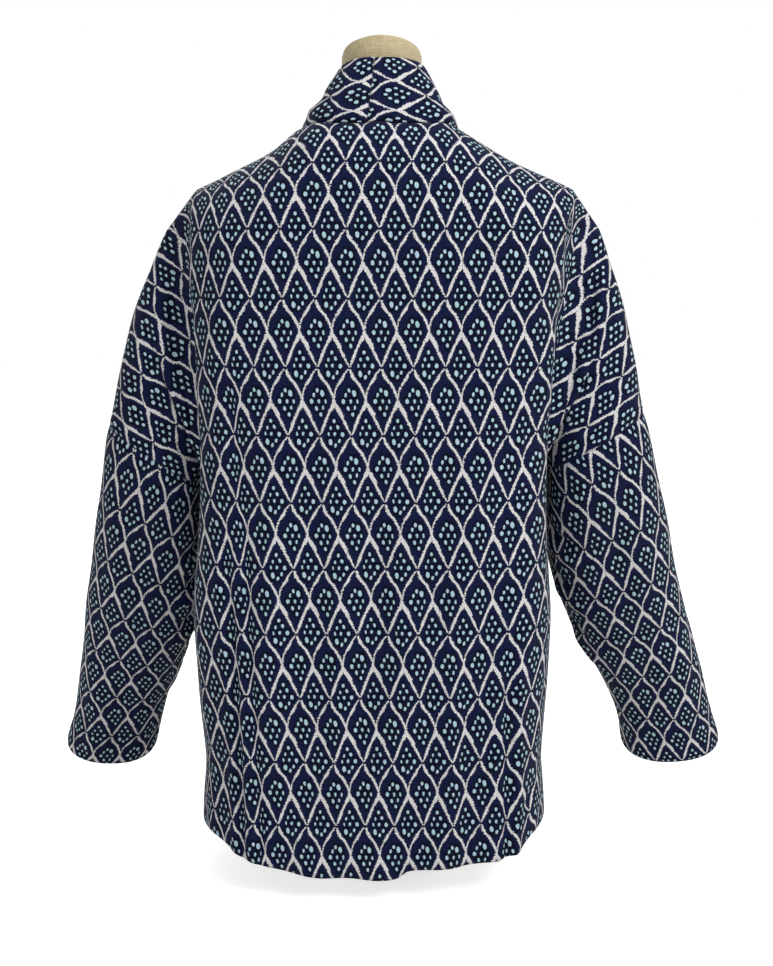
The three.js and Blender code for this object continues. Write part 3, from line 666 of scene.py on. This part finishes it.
# Folds in millimetres down the sleeve, and round it from the outer line over the back,
# 0 to 190 at the inner line
sleeveFolds = {
    1: [
        dict(path=[(60, 196), (88, 172), (104, 140)], wide=6, high=-3.4),
        dict(path=[(78, 200), (104, 176), (124, 138)], wide=7, high=3.6),
        dict(path=[(118, 198), (136, 172), (146, 146)], wide=5, high=-3.0),
        dict(path=[(134, 200), (156, 172), (176, 136)], wide=7, high=3.6),
        dict(path=[(176, 196), (192, 172), (204, 148)], wide=5, high=-3.2),
        dict(path=[(196, 198), (216, 172), (240, 142)], wide=7, high=3.2),
        dict(path=[(240, 196), (262, 174), (296, 150)], wide=6, high=-2.6),
        dict(path=[(266, 196), (300, 170), (344, 148)], wide=8, high=2.6),
        dict(path=[(20, 40), (120, 66), (240, 74)], wide=14, high=1.6),
        dict(path=[(40, 96), (150, 104), (280, 98)], wide=12, high=-1.6),
        dict(path=[(230, 40), (330, 50), (430, 60)], wide=12, high=1.8, fadeOut=0.1),
        dict(path=[(260, 84), (350, 88), (440, 92)], wide=10, high=-1.8, fadeOut=0.1),
    ],
    -1: [
        dict(path=[(64, 198), (92, 170), (116, 132)], wide=6, high=-3.2),
        dict(path=[(86, 200), (116, 170), (144, 130)], wide=8, high=3.4),
        dict(path=[(138, 198), (158, 172), (172, 144)], wide=5, high=-3.0),
        dict(path=[(160, 200), (184, 170), (214, 134)], wide=7, high=3.2),
        dict(path=[(214, 196), (236, 170), (262, 148)], wide=6, high=-2.8),
        dict(path=[(246, 196), (276, 170), (320, 146)], wide=8, high=2.8),
        dict(path=[(26, 44), (130, 70), (250, 76)], wide=14, high=1.6),
        dict(path=[(50, 100), (160, 104), (280, 100)], wide=12, high=-1.6),
        dict(path=[(240, 44), (330, 54), (430, 60)], wide=12, high=1.8, fadeOut=0.1),
        dict(path=[(250, 92), (340, 98), (440, 104)], wide=10, high=-1.8, fadeOut=0.1),
    ],
}
# Where the print lies by millimetres down the sleeve: repeats off the outer line, and repeats down
sleevePrint = {
    1: table("along off down", (0, -0.45, -0.05), (74, -0.12, 1.0), (145, 0.17, 2.0), (211, 0.29, 3.01),
             (272, 0.41, 4.01), (331, 0.51, 5.0), (470, 0.58, 7.25)),
    -1: table("along off down", (0, 0.9, 0.55), (36, 0.58, 1.0), (112, 0.24, 2.0), (183, 0.13, 3.01),
              (248, 0.06, 4.0), (318, 0.11, 5.0), (389, 0.3, 5.99), (470, 0.35, 7.22)),
}


def makeSleeve(side):
    arm = arms[side]
    sign = arm["sign"]
    rows, sides = sleeve["rows"], sleeve["sides"]
    grid = []
    for i in range(rows + 1):
        share = i / rows
        grid.append([sleevePoint(arm, share, sign * -2 * math.pi * k / sides) for k in range(sides)])
    normals = gridNormals(grid, True, True)
    centres = [sum(line, Vector()) / sides for line in grid]
    along = gaps(centres)
    across = [gaps(line + line[:1]) for line in grid]
    moved = []
    shift = sleevePrint[sign]
    for i, line in enumerate(grid):
        out = []
        half = across[i][sides // 2]
        for k, point in enumerate(line):
            arc = across[i][k]
            # b is 0 at the outer line and grows over the back to the inner line, then on under the front
            a, b = along[i], (across[i][sides] - arc if sign > 0 else arc)
            rise = sleeve["foldDepth"] * foldHeight(sleeveFolds[sign], a, b)
            front = across[i][sides] - b
            rise += sleeve["frontFolds"] * foldHeight(sleeveFolds[-sign], a, front)
            rise += sleeve["ripple"] * math.sin(a / 17 + b / 40)
            rise += sleeve["ripple"] * math.sin(b / 19 + a / 60)
            rise *= ramp(i, 0, 4)
            cuff = along[-1] - a
            rise += sleeve["hemRaise"] * (1 - ramp(cuff, sleeve["hemFrom"], sleeve["hemTo"]))
            rise -= sleeve["cuffDip"][0] * math.exp(-(cuff / sleeve["cuffDip"][1]) ** 2)
            rise -= body["seamDip"] * math.exp(-(a / body["seamWide"]) ** 2)
            under = abs(b - half)
            rise -= sleeve["underDip"][0] * math.exp(-(under / sleeve["underDip"][1]) ** 2)
            out.append(point + normals[i][k] * rise)
        moved.append(out)

    def uv(i, j, p, q):
        arc = across[p][q]
        if j >= sides // 2:
            arc -= across[p][sides]
        return (-arc / cut["repeatAcross"] + read(shift, "off", along[p]), read(shift, "down", along[p]))

    return clothPiece("sleeve_tube_" + side, moved, uv, wrap=True, flip=True, wall=sleeve["wall"])


# Collar band
band = {
    "across": 14, "alongStep": 5.5, "wall": 2.6,
    "crown": 1.4, "proud": 0.6,                       # how full the folded band stands off the cloth
    "seamDip": (0.8, 2.2), "edgeDip": (0.5, 1.8), "backDip": (0.7, 2.0),    # each deep and wide
}
collar = table(
    "at napeHalf edgeHalf edgeY edgeZ",
    (0, 13, 8, 63, 867), (1, 0, 0, 63, 867), (2, 22, 13, 62, 867), (3, 44, 27, 57, 866), (4, 64, 39, 45, 863),
    (5, 76, 45, 28, 857), (6, 83, 47, 3, 845))
bandNeck = table(
    "at seamZ edgeHalf edgeY edgeZ",
    (6, 782, 48, -28, 818), (7, 758, 47, -58, 780), (8, 722, 44, -87, 736), (9, 680, 40, -108, 686))
collarFolds = {
    1: [
        dict(path=[(18, 6), (60, 16), (120, 22), (190, 20)], wide=7, high=2.6),
        dict(path=[(30, 30), (80, 36), (140, 34)], wide=6, high=-2.2),
        dict(path=[(300, 20), (420, 28), (560, 22)], wide=12, high=1.4),
        dict(path=[(520, 40), (640, 34), (760, 38)], wide=10, high=-1.4),
    ],
    -1: [
        dict(path=[(24, 34), (80, 30), (140, 24)], wide=8, high=-1.6),
        dict(path=[(40, 12), (100, 14), (180, 18)], wide=8, high=1.8),
        dict(path=[(320, 24), (440, 20), (580, 26)], wide=12, high=1.4),
        dict(path=[(540, 44), (660, 38), (780, 34)], wide=10, high=-1.4),
    ],
}
collarPrint = {1: (0.12, 0.677), -1: (0.11, 0.087)}


def makeBand(side):
    arm = arms[side]
    sign = arm["sign"]
    lines = []
    # both halves start at their meeting, left of the middle; the right one passes the middle next
    for i in (0, 2, 3, 4, 5, 6) if sign > 0 else (0, 1, 2, 3, 4, 5, 6):
        owner = arms["left"] if i == 0 else arm
        half = collar["napeHalf"][i]
        seam = yokePoint(owner, 1, half, napeTurn(half) if half < cut["neckHalf"] else 0)
        lines.append((seam, Vector((cut["collarMiddle"] + owner["sign"] * collar["edgeHalf"][i],
                                    collar["edgeY"][i], collar["edgeZ"][i]))))
    fine = [k / 4 for k in range(4 * cut["lastRow"] + 1)]
    seamLine = [panelPoint(arm, -1, 0, row) for row in fine]

    def seamAt(z):
        i = 0
        while i < len(seamLine) - 2 and seamLine[i + 1].z > z:
            i += 1
        t = (seamLine[i].z - z) / (seamLine[i].z - seamLine[i + 1].z)
        return seamLine[i].lerp(seamLine[i + 1], t)

    for i in range(len(bandNeck["at"])):
        z = bandNeck["edgeZ"][i]
        x = read(trunk, "middle", z) + sign * bandNeck["edgeHalf"][i]
        lines.append((seamAt(bandNeck["seamZ"][i]), Vector((x, bandNeck["edgeY"][i], z))))
    bottom = seamLine[-1].z
    for k in range(12):
        z = mix(cut["bandTop"], bottom, k / 11)
        edge = Vector((read(trunk, "middle", z) + sign * cut["bandEdgeHalf"],
                       trunkY(-1, cut["bandEdgeHalf"], z) - cut["bandProud"], z))
        lines.append((seamAt(z), edge))
    grid = []
    count = len(lines)

    def spline(points, s):
        i = min(int(s), count - 2)
        t = s - i
        p1, p2 = points[i], points[i + 1]
        p0 = points[i - 1] if i > 0 else Vector((2 * p1.x - p2.x, p2.y, p2.z))
        p3 = points[i + 2] if i + 2 < count else p2 * 2 - p1
        return 0.5 * (2 * p1 + (p2 - p0) * t + (2 * p0 - 5 * p1 + 4 * p2 - p3) * t * t
                      + (3 * p1 - p0 - 3 * p2 + p3) * t * t * t)

    seams, edges = [a for a, _ in lines], [b for _, b in lines]
    for i in range(count - 1):
        steps = max(2, round((seams[i + 1] - seams[i]).length / band["alongStep"]))
        for k in range(steps):
            s = i + k / steps
            grid.append((spline(seams, s), spline(edges, s)))
    grid.append((seams[-1], edges[-1]))
    full = [[a.lerp(b, k / band["across"]) for k in range(band["across"] + 1)] for a, b in grid]
    normals = gridNormals(full, False, sign > 0)
    middles = [line[band["across"] // 2] for line in full]
    along = gaps(middles)
    seamsAlong = gaps([line[0] for line in full])
    across = [gaps(line) for line in full]
    moved = []
    for i, line in enumerate(full):
        out = []
        wide = across[i][-1]
        for j, point in enumerate(line):
            b, a = across[i][j], along[i]
            rise = band["crown"] * max(math.sin(math.pi * b / wide), 0) ** 0.8
            rise += foldHeight(collarFolds[sign], a, b)
            rise += 0.35 * math.sin(a / 14 + b / 9) + 0.3 * math.sin(a / 31 + 2)
            rise *= ramp(i, 0, 3)
            dips = ((b, band["seamDip"]), (wide - b, band["edgeDip"]), (a, band["backDip"]))
            for gap, (deep, reach) in dips:
                rise -= deep * math.exp(-(gap / reach) ** 2)
            out.append(point + normals[i][j] * (rise + band["proud"]))
        moved.append(out)
    shift = collarPrint[sign]

    def uv(i, j, p, q):
        a = mix(seamsAlong[p], along[p], 0.6)
        return (across[p][q] / cut["repeatAcross"] + shift[0], -sign * a / cut["repeatDown"] + shift[1])

    piece = clothPiece("collar_band_" + side, moved, uv, flip=sign > 0, wall=band["wall"])
    foldedEdge = piece.modifiers.new("foldedEdge", "BEVEL")
    foldedEdge.width = 0.9 * mm
    foldedEdge.segments = 2
    foldedEdge.limit_method = "ANGLE"
    foldedEdge.angle_limit = math.radians(50)
    return piece


# Dress form
form = {"bottom": 170, "sides": 128, "rings": 150, "topRings": 16,
        "neckHalf": 40.5, "neckDepth": 39, "neckY": 15, "neckZ": 873, "slope": 0.4, "crown": 6,
        "seamRise": 0.9, "seamWide": 2.2}
formSections = table(
    "z half depth y",
    (170, 138, 96, 4), (182, 147, 104, 4), (230, 157, 111, 4), (300, 153, 107, 4), (370, 134, 94, 4),
    (440, 120, 85, 4), (520, 128, 92, 8), (600, 144, 100, 12), (660, 155, 92, 14), (700, 158, 76, 16),
    (728, 148, 60, 18), (748, 124, 52, 20), (764, 98, 47, 22), (780, 72, 44, 22), (800, 52, 42, 20),
    (825, 44, 41, 17), (850, 40.5, 40, 15))


def makeForm():
    sides, rings = form["sides"], []
    angles = [2 * math.pi * k / sides for k in range(sides)]
    for i in range(form["rings"]):
        z = mix(form["bottom"], 850, i / (form["rings"] - 1))
        half, depth, y = (read(formSections, name, z) for name in ("half", "depth", "y"))
        rings.append([Vector((half * math.cos(a), y + depth * math.sin(a), z)) for a in angles])
    edge = [Vector((form["neckHalf"] * math.cos(a), form["neckY"] + form["neckDepth"] * math.sin(a),
                    form["neckZ"] + form["slope"] * form["neckDepth"] * math.sin(a))) for a in angles]
    last = rings[-1]
    for t in (0.3, 0.6, 0.85):
        rings.append([p.lerp(q, t) for p, q in zip(last, edge)])
    for k in range(form["topRings"]):
        t = k / form["topRings"]
        shrink = math.cos(t * math.pi / 2)
        lift = form["crown"] * math.sin(t * math.pi / 2)
        rings.append([Vector((
            form["neckHalf"] * shrink * math.cos(a),
            form["neckY"] + form["neckDepth"] * shrink * math.sin(a),
            form["neckZ"] + lift + form["slope"] * form["neckDepth"] * shrink * math.sin(a))) for a in angles])
    # the linen's seams run up the middle of the back and front and up both sides
    points = []
    for ring in rings:
        for k, p in enumerate(ring):
            a = angles[k]
            out = Vector((math.cos(a), math.sin(a), 0.25))
            seam = 0
            for at in (math.pi / 2, 3 * math.pi / 2, 0, math.pi):
                away = abs((a - at + math.pi) % (2 * math.pi) - math.pi) * 60
                seam = max(seam, math.exp(-(away / form["seamWide"]) ** 2))
            points.append((p + out * (form["seamRise"] * seam - 0.1)) * mm)
    faces = []
    for i in range(len(rings) - 1):
        for k in range(sides):
            n = (k + 1) % sides
            faces.append([i * sides + k, i * sides + n, (i + 1) * sides + n, (i + 1) * sides + k])
    faces.append([k for k in reversed(range(sides))])
    top = (len(rings) - 1) * sides
    points.append(Vector((0, form["neckY"], form["neckZ"] + form["crown"])) * mm)
    for k in range(sides):
        faces.append([top + k, top + (k + 1) % sides, len(points) - 1])
    mesh = bpy.data.meshes.new("linen_form")
    mesh.from_pydata(points, [], faces)
    mesh.shade_smooth()
    piece = bpy.data.objects.new("linen_form", mesh)
    bpy.context.scene.collection.objects.link(piece)
    return piece


# Materials
def srgb(code, alpha=1):
    channels = [int(code[i:i + 2], 16) / 255 for i in (1, 3, 5)]
    return [c / 12.92 if c <= 0.04045 else ((c + 0.055) / 1.055) ** 2.4 for c in channels] + [alpha]


def newMaterial(name):
    material = bpy.data.materials.new(name)
    material.use_nodes = True
    material.node_tree.nodes.clear()
    return material, material.node_tree


# Adds a node: settings are its own properties, inputs are values or sockets to link
def addNode(tree, kind, settings=None, inputs=None):
    node = tree.nodes.new(kind)
    for name, value in (settings or {}).items():
        setattr(node, name, value)
    for key, value in (inputs or {}).items():
        socket = node.inputs[key]
        if isinstance(value, bpy.types.NodeSocket):
            tree.links.new(value, socket)
        else:
            socket.default_value = value
    return node


def number(tree, operation, *values):
    return addNode(tree, "ShaderNodeMath", {"operation": operation}, dict(enumerate(values))).outputs[0]


def vector(tree, operation, *values, out=0):
    node = addNode(tree, "ShaderNodeVectorMath", {"operation": operation}, dict(enumerate(values)))
    return node.outputs[out]


def soften(tree, value, low, high, fromValue=0.0, toValue=1.0):
    node = addNode(tree, "ShaderNodeMapRange", {"interpolation_type": "SMOOTHSTEP"}, {
        "Value": value, "From Min": low, "From Max": high, "To Min": fromValue, "To Max": toValue})
    return node.outputs[0]


def blendColour(tree, share, first, second, kind="MIX"):
    node = addNode(tree, "ShaderNodeMix", {"data_type": "RGBA", "blend_type": kind},
                   {0: share, 6: first, 7: second})
    return node.outputs[2]


def curve(tree, value, points):
    node = addNode(tree, "ShaderNodeFloatCurve", None, {"Value": value})
    line = node.mapping.curves[0]
    while len(line.points) < len(points):
        line.points.new(0.5, 0.5)
    for point, (x, y) in zip(line.points, points):
        point.location = (x, y)
        point.handle_type = "AUTO"
    node.mapping.update()
    return node.outputs[0]


# The print is charted in one repeat: two brushed lines and two clusters of dots
printChart = {
    # how far each line wanders from its straight course, by part of the repeat down
    "rightWander": [(0, 0), (0.06, -0.02), (0.11, -0.035), (0.16, -0.03), (0.2, 0), (0.24, 0.035),
                    (0.3, 0.045), (0.36, 0.045), (0.42, 0.032), (0.48, 0.008), (0.53, -0.01),
                    (0.61, -0.005), (0.67, 0.008),
                    (0.74, -0.01), (0.82, -0.006), (0.9, -0.014), (1, 0)],
    "rightWide": [(0, 0.3), (0.05, 1), (0.09, 1.15), (0.12, 1.7), (0.16, 1.45), (0.21, 1.55), (0.27, 1.25),
                  (0.34, 1.15), (0.42, 0.95), (0.47, 0.75), (0.52, 1.1), (0.57, 1.9), (0.61, 2.1), (0.67, 2),
                  (0.72, 1.45), (0.75, 1.1), (0.82, 1.35), (0.88, 0.95), (0.96, 0.65), (1, 0.3)],
    "leftWander": [(0, 0), (0.06, -0.045), (0.1, -0.075), (0.16, -0.08), (0.24, -0.11), (0.29, -0.128),
                   (0.33, -0.125), (0.39, -0.1), (0.456, -0.065), (0.52, -0.02), (0.584, 0), (0.648, -0.02),
                   (0.728, -0.026), (0.808, -0.02), (0.888, -0.005), (1, 0)],
    "leftWide": [(0, 0.3), (0.05, 0.75), (0.1, 0.85), (0.16, 1.4), (0.19, 1.5), (0.24, 1.2), (0.29, 0.6),
                 (0.31, 0.95), (0.33, 0.5), (0.4, 0.65), (0.46, 0.85), (0.52, 1.1), (0.57, 1.9), (0.61, 1.8),
                 (0.65, 1.15), (0.69, 1.1), (0.77, 1.25), (0.84, 1.4), (0.89, 1.2), (0.95, 0.8), (1, 0.3)],
    # dots in millimetres from the middle of their diamond: across, down, half width, half height, turn
    "dotsBetween": [(-1.2, -14.8, 1.95, 2.6, 0), (-4.9, -7.8, 1.45, 2.5, 6), (2.3, -8.8, 1.9, 2.8, -16),
                    (-7.2, -1.8, 1.25, 2.6, -6), (-0.9, -1.8, 1.9, 2.5, 0), (7.0, -1.4, 2.4, 3.1, 0),
                    (-5.5, 6.3, 2.45, 4.0, -6), (3.6, 5.0, 1.65, 2.8, 12), (-0.4, 9.6, 1.8, 2.8, 16)],
    "dotsUnder": [(-1.2, -11.0, 1.85, 2.8, -8), (3.9, -8.0, 2.6, 4.2, -8), (-4.7, -6.4, 1.6, 2.9, 8),
                  (-7.3, 0.0, 2.4, 3.1, 0), (0.1, 0.0, 1.8, 2.8, 10), (7.0, 0.1, 1.35, 2.9, -4),
                  (-2.6, 7.0, 1.95, 3.0, -10), (4.2, 6.2, 1.4, 2.8, 6), (1.8, 13.0, 1.9, 2.7, -8)],
    "crossing": (0, 0.6, 1.9, 1.7, 0),
    "notches": [(0.5, -1.0, 0.95, 1.2, 0), (-0.9, 0.9, 0.9, 1.3, 0)],
    "dotSize": 0.8, "lineSize": 1, "lineEdge": 0.3, "wander": 1.35, "ragged": 1.6,
    "threadGap": 0.95,        # real threads are 0.4 mm apart, drawn coarser so that they show
}
printColours = {
    "navy": "#0f1939", "night": "#02040a", "plum": "#13183d", "line": "#dcdadb", "lineShade": "#b2b1b2",
    "sky": "#b0c8dc", "teal": "#a6c8d2",
}


def dotField(tree, place, dots):
    nearest = None
    for x, y, wide, high, turn in dots:
        node = addNode(tree, "ShaderNodeMapping", {"vector_type": "TEXTURE"}, {
            "Vector": place, "Location": (x, y, 0), "Rotation": (0, 0, math.radians(turn)),
            "Scale": (wide * printChart["dotSize"], high * printChart["dotSize"], 1)})
        away = vector(tree, "LENGTH", node.outputs[0], out=1)
        nearest = away if nearest is None else number(tree, "MINIMUM", nearest, away)
    return nearest


# Millimetres from the middle of the repeat's cell that a place falls in
def cell(tree, u, v, shiftU, shiftV, middleV):
    x = number(tree, "SUBTRACT", number(tree, "FRACT", number(tree, "ADD", u, shiftU)), 0.5)
    y = number(tree, "SUBTRACT", number(tree, "FRACT", number(tree, "ADD", v, shiftV)), middleV)
    joined = addNode(tree, "ShaderNodeCombineXYZ", None, {
        0: number(tree, "MULTIPLY", x, cut["repeatAcross"]),
        1: number(tree, "MULTIPLY", y, cut["repeatDown"])})
    return joined.outputs[0]


# Printed cotton: matt, plain woven, the colours sunk into the threads so that light gives only a faint sheen
def printedCotton():
    material, tree = newMaterial("printed navy cotton")
    across, down = cut["repeatAcross"], cut["repeatDown"]
    uv = addNode(tree, "ShaderNodeUVMap", {"uv_map": "cloth"}).outputs[0]
    place = vector(tree, "MULTIPLY", uv, (across, down, 0))
    brush = addNode(tree, "ShaderNodeTexNoise", {"noise_dimensions": "2D"},
                    {"Vector": place, "Scale": 0.55, "Detail": 2.5, "Roughness": 0.62})
    shake = vector(tree, "SUBTRACT", brush.outputs["Color"], (0.5, 0.5, 0.5))
    shake = vector(tree, "MULTIPLY", shake, (printChart["wander"] / across, printChart["wander"] / down, 0))
    drawn = addNode(tree, "ShaderNodeSeparateXYZ", None, {0: vector(tree, "ADD", uv, shake)})
    u, v = drawn.outputs[0], drawn.outputs[1]
    part = number(tree, "FRACT", v)

    def line(course, wander, wide):
        off = number(tree, "SUBTRACT", course, number(
            tree, "MULTIPLY", number(tree, "SUBTRACT", curve(
                tree, part, [(x, 0.5 + 2 * y) for x, y in printChart[wander]]), 0.5), 0.5))
        away = number(tree, "ABSOLUTE", number(
            tree, "SUBTRACT", number(tree, "FRACT", number(tree, "ADD", off, 0.5)), 0.5))
        half = number(tree, "MULTIPLY", curve(tree, part, [(x, y / 4) for x, y in printChart[wide]]),
                      4 * printChart["lineSize"])
        return number(tree, "SUBTRACT", number(tree, "MULTIPLY", away, across * 0.9), half)

    right = line(number(tree, "SUBTRACT", u, v), "rightWander", "rightWide")
    left = line(number(tree, "ADD", u, v), "leftWander", "leftWide")
    edge = printChart["lineEdge"]
    rough = addNode(tree, "ShaderNodeTexNoise", {"noise_dimensions": "2D"},
                    {"Vector": place, "Scale": 0.7, "Detail": 2.0, "Roughness": 0.6}).outputs[0]
    rough = number(tree, "MULTIPLY", number(tree, "SUBTRACT", rough, 0.5), printChart["ragged"] * 2)
    lineGap = number(tree, "ADD", number(tree, "MINIMUM", right, left), rough)
    lineMask = soften(tree, lineGap, -edge, edge, 1.0, 0.0)
    crossing = dotField(tree, cell(tree, u, v, 0.5, 0.5, 0.5), [printChart["crossing"]])
    lineMask = number(tree, "MULTIPLY", lineMask, soften(tree, crossing, 0.7, 1.3))

    between, under = cell(tree, u, v, 0.0, 0.5, 0.5), cell(tree, u, v, 0.5, 0.0, 0.495)
    dots = number(tree, "MINIMUM", dotField(tree, between, printChart["dotsBetween"]),
                  dotField(tree, under, printChart["dotsUnder"]))
    notch = number(tree, "MINIMUM", dotField(tree, between, printChart["notches"][:1]),
                   dotField(tree, under, printChart["notches"][1:]))
    dotMask = number(tree, "MULTIPLY", soften(tree, dots, 0.84, 1.1, 1.0, 0.0),
                     soften(tree, notch, 0.7, 1.1, 0.15, 1.0))

    # darker ink round the dots, a plum cast away from them
    patch = addNode(tree, "ShaderNodeTexNoise", {"noise_dimensions": "2D"},
                    {"Vector": place, "Scale": 0.09, "Detail": 2.0, "Roughness": 0.5}).outputs[0]
    ground = blendColour(tree, soften(tree, patch, 0.35, 0.65), srgb(printColours["navy"]),
                         srgb(printColours["plum"]))
    ground = blendColour(tree, soften(tree, dots, 1.2, 3.0, 0.9, 0.0), ground, srgb(printColours["night"]))
    ground = blendColour(tree, soften(tree, lineGap, 0.3, 1.4, 0.4, 0.0), ground, srgb(printColours["night"]))
    dotColour = blendColour(tree, soften(tree, patch, 0.4, 0.6), srgb(printColours["sky"]),
                            srgb(printColours["teal"]))
    streak = addNode(tree, "ShaderNodeTexNoise", {"noise_dimensions": "2D"},
                     {"Vector": place, "Scale": 0.7, "Detail": 3.0, "Roughness": 0.6}).outputs[0]
    lineColour = blendColour(tree, soften(tree, streak, 0.45, 0.72), srgb(printColours["line"]),
                             srgb(printColours["lineShade"]))
    colour = blendColour(tree, dotMask, ground, dotColour)
    colour = blendColour(tree, lineMask, colour, lineColour)

    # threads: over and under in both directions, with slubs; the weave is bumped, and its relief is also
    # painted into the colour as painted shade in the hollows between threads and a painted highlight on the
    # raised ones
    turn = 2 * math.pi / printChart["threadGap"]
    threads = addNode(tree, "ShaderNodeSeparateXYZ", None,
                      {0: vector(tree, "MULTIPLY", place, (turn, turn, 0))})
    weave = number(tree, "MULTIPLY", number(tree, "SINE", threads.outputs[0]),
                   number(tree, "SINE", threads.outputs[1]))
    slub = addNode(tree, "ShaderNodeTexNoise", {"noise_dimensions": "2D"},
                   {"Vector": vector(tree, "MULTIPLY", place, (2.2, 0.35, 0)),
                    "Scale": 1.0, "Detail": 2.0}).outputs[0]
    weave = number(tree, "ADD", number(tree, "MULTIPLY", weave, 0.5), slub)
    # painted shade and highlight of the weave: the print's colour is scaled darker in the thread hollows and
    # lighter on the thread tops, partly the slubby yarn's own uneven tone
    slubAndPaintedWeaveShade = soften(tree, weave, -0.1, 1.1, 0.86, 1.1)
    colour = vector(tree, "SCALE", colour)
    scaled = colour.node
    tree.links.new(slubAndPaintedWeaveShade, scaled.inputs["Scale"])
    bump = addNode(tree, "ShaderNodeBump", None, {"Strength": 0.25, "Distance": 0.0004, "Height": weave})
    shader = addNode(tree, "ShaderNodeBsdfPrincipled", None, {
        "Base Color": colour, "Roughness": 0.88, "Sheen Weight": 0.03, "Sheen Roughness": 0.5,
        "Specular IOR Level": 0.08, "Normal": bump.outputs[0]})
    addNode(tree, "ShaderNodeOutputMaterial", None, {"Surface": shader.outputs[0]})
    return material


# Unbleached linen: matt and slubby, its threads a little uneven in colour
def wovenLinen():
    material, tree = newMaterial("unbleached linen")
    where = addNode(tree, "ShaderNodeTexCoord").outputs["Object"]
    place = vector(tree, "MULTIPLY", where, (1000, 1000, 1000))
    warp, weft = (addNode(tree, "ShaderNodeTexNoise", None, {
        "Vector": vector(tree, "MULTIPLY", place, stretch), "Scale": 1.0, "Detail": 2.0}).outputs[0]
        for stretch in ((1.5, 1.5, 0.12), (0.12, 0.12, 1.5)))
    threads = number(tree, "ADD", warp, weft)
    colour = blendColour(tree, soften(tree, threads, 0.7, 1.3), srgb("#b3a379"), srgb("#cbbf9f"))
    bump = addNode(tree, "ShaderNodeBump", None, {"Strength": 0.35, "Distance": 0.0005, "Height": threads})
    shader = addNode(tree, "ShaderNodeBsdfPrincipled", None, {
        "Base Color": colour, "Roughness": 0.9, "Sheen Weight": 0.1, "Specular IOR Level": 0.3,
        "Normal": bump.outputs[0]})
    addNode(tree, "ShaderNodeOutputMaterial", None, {"Surface": shader.outputs[0]})
    return material


# Powder coated steel: dark and satin, with a fine orange peel that breaks up its highlight
def coatedSteel():
    material, tree = newMaterial("powder coated steel")
    where = addNode(tree, "ShaderNodeTexCoord").outputs["Object"]
    peel, worn = (addNode(tree, "ShaderNodeTexNoise", None, {
        "Vector": where, "Scale": scale, "Detail": detail}).outputs[0]
        for scale, detail in ((900.0, 2.0), (40.0, 3.0)))
    colour = blendColour(tree, soften(tree, worn, 0.45, 0.7), srgb("#232326"), srgb("#303034"))
    rough = soften(tree, worn, 0.3, 0.7, 0.4, 0.52)
    bump = addNode(tree, "ShaderNodeBump", None, {"Strength": 0.15, "Distance": 0.0003, "Height": peel})
    shader = addNode(tree, "ShaderNodeBsdfPrincipled", None, {
        "Base Color": colour, "Roughness": rough, "Normal": bump.outputs[0]})
    addNode(tree, "ShaderNodeOutputMaterial", None, {"Surface": shader.outputs[0]})
    return material


cotton, linen, steel = printedCotton(), wovenLinen(), coatedSteel()
print("materials made")

pieces = {}
pieces["back"] = makeBack()
print("back made")
for side in arms:
    pieces["front_" + side] = makeFront(side)
    pieces["sleeve_" + side] = makeSleeve(side)
    pieces["collar_" + side] = makeBand(side)
print("fronts, sleeves and collar made")
pieces["dress_form"] = makeForm()
for node, piece in pieces.items():
    piece.data.materials.append(linen if node == "dress_form" else cotton)
    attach(piece, "root")
    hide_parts(node)
for node in ("stand_stem", "stand_base"):
    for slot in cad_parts[node].material_slots:
        slot.material = steel

# Floor, light and camera
stage = {
    "floorSize": 14, "cameraAt": (-0.005, 1.6, 0.6763), "cameraDown": 9, "focalPixels": 1480, "frameHigh": 966,
}


def makeFloor():
    half = stage["floorSize"] / 2
    mesh = bpy.data.meshes.new("floor")
    corners = [(-half, -half, 0), (half, -half, 0), (half, half, 0), (-half, half, 0)]
    mesh.from_pydata(corners, [], [[0, 1, 2, 3]])
    floor = bpy.data.objects.new("floor", mesh)
    bpy.context.scene.collection.objects.link(floor)
    material, tree = newMaterial("pale matt floor")
    seen = addNode(tree, "ShaderNodeLightPath").outputs["Is Camera Ray"]
    shader = addNode(tree, "ShaderNodeBsdfPrincipled", None, {
        "Base Color": srgb("#f2f1ef"), "Roughness": 0.9, "Emission Color": srgb("#ffffff"),
        "Emission Strength": number(tree, "MULTIPLY", seen, 0.7)})
    addNode(tree, "ShaderNodeOutputMaterial", None, {"Surface": shader.outputs[0]})
    floor.data.materials.append(material)


def areaLight(name, at, aim, size, watts):
    lamp = bpy.data.lights.new(name, "AREA")
    lamp.energy = watts
    lamp.size = size
    light = bpy.data.objects.new(name, lamp)
    light.location = at
    light.rotation_euler = (Vector(aim) - Vector(at)).to_track_quat("-Z", "Y").to_euler()
    bpy.context.scene.collection.objects.link(light)


makeFloor()
areaLight("key", (-1.5, 1.9, 2.4), (0, 0, 0.5), 1.1, 52)
areaLight("fill", (1.8, 2.0, 1.4), (0, 0, 0.45), 2.0, 4)
areaLight("front", (0.6, -2.6, 1.8), (0, 0, 0.5), 2.2, 32)
areaLight("above", (0, 0.2, 3.0), (0, 0, 0), 2.4, 20)
world = bpy.data.worlds.new("studio")
world.use_nodes = True
background = world.node_tree.nodes["Background"]
background.inputs["Color"].default_value = srgb("#ffffff")
seen = addNode(world.node_tree, "ShaderNodeLightPath").outputs["Is Camera Ray"]
strength = soften(world.node_tree, seen, 0.0, 1.0, 0.42, 1.0)     # dimmer as a light than it looks
world.node_tree.links.new(strength, background.inputs["Strength"])
bpy.context.scene.world = world
bpy.context.scene.view_settings.view_transform = "Standard"

lens = bpy.data.cameras.new("camera")
lens.sensor_width = 36
lens.lens = stage["focalPixels"] / stage["frameHigh"] * lens.sensor_width
camera = bpy.data.objects.new("camera", lens)
camera.location = stage["cameraAt"]
camera.rotation_euler = (math.radians(90 - stage["cameraDown"]), 0, math.pi)
bpy.context.scene.collection.objects.link(camera)
bpy.context.scene.camera = camera
print("stage set")
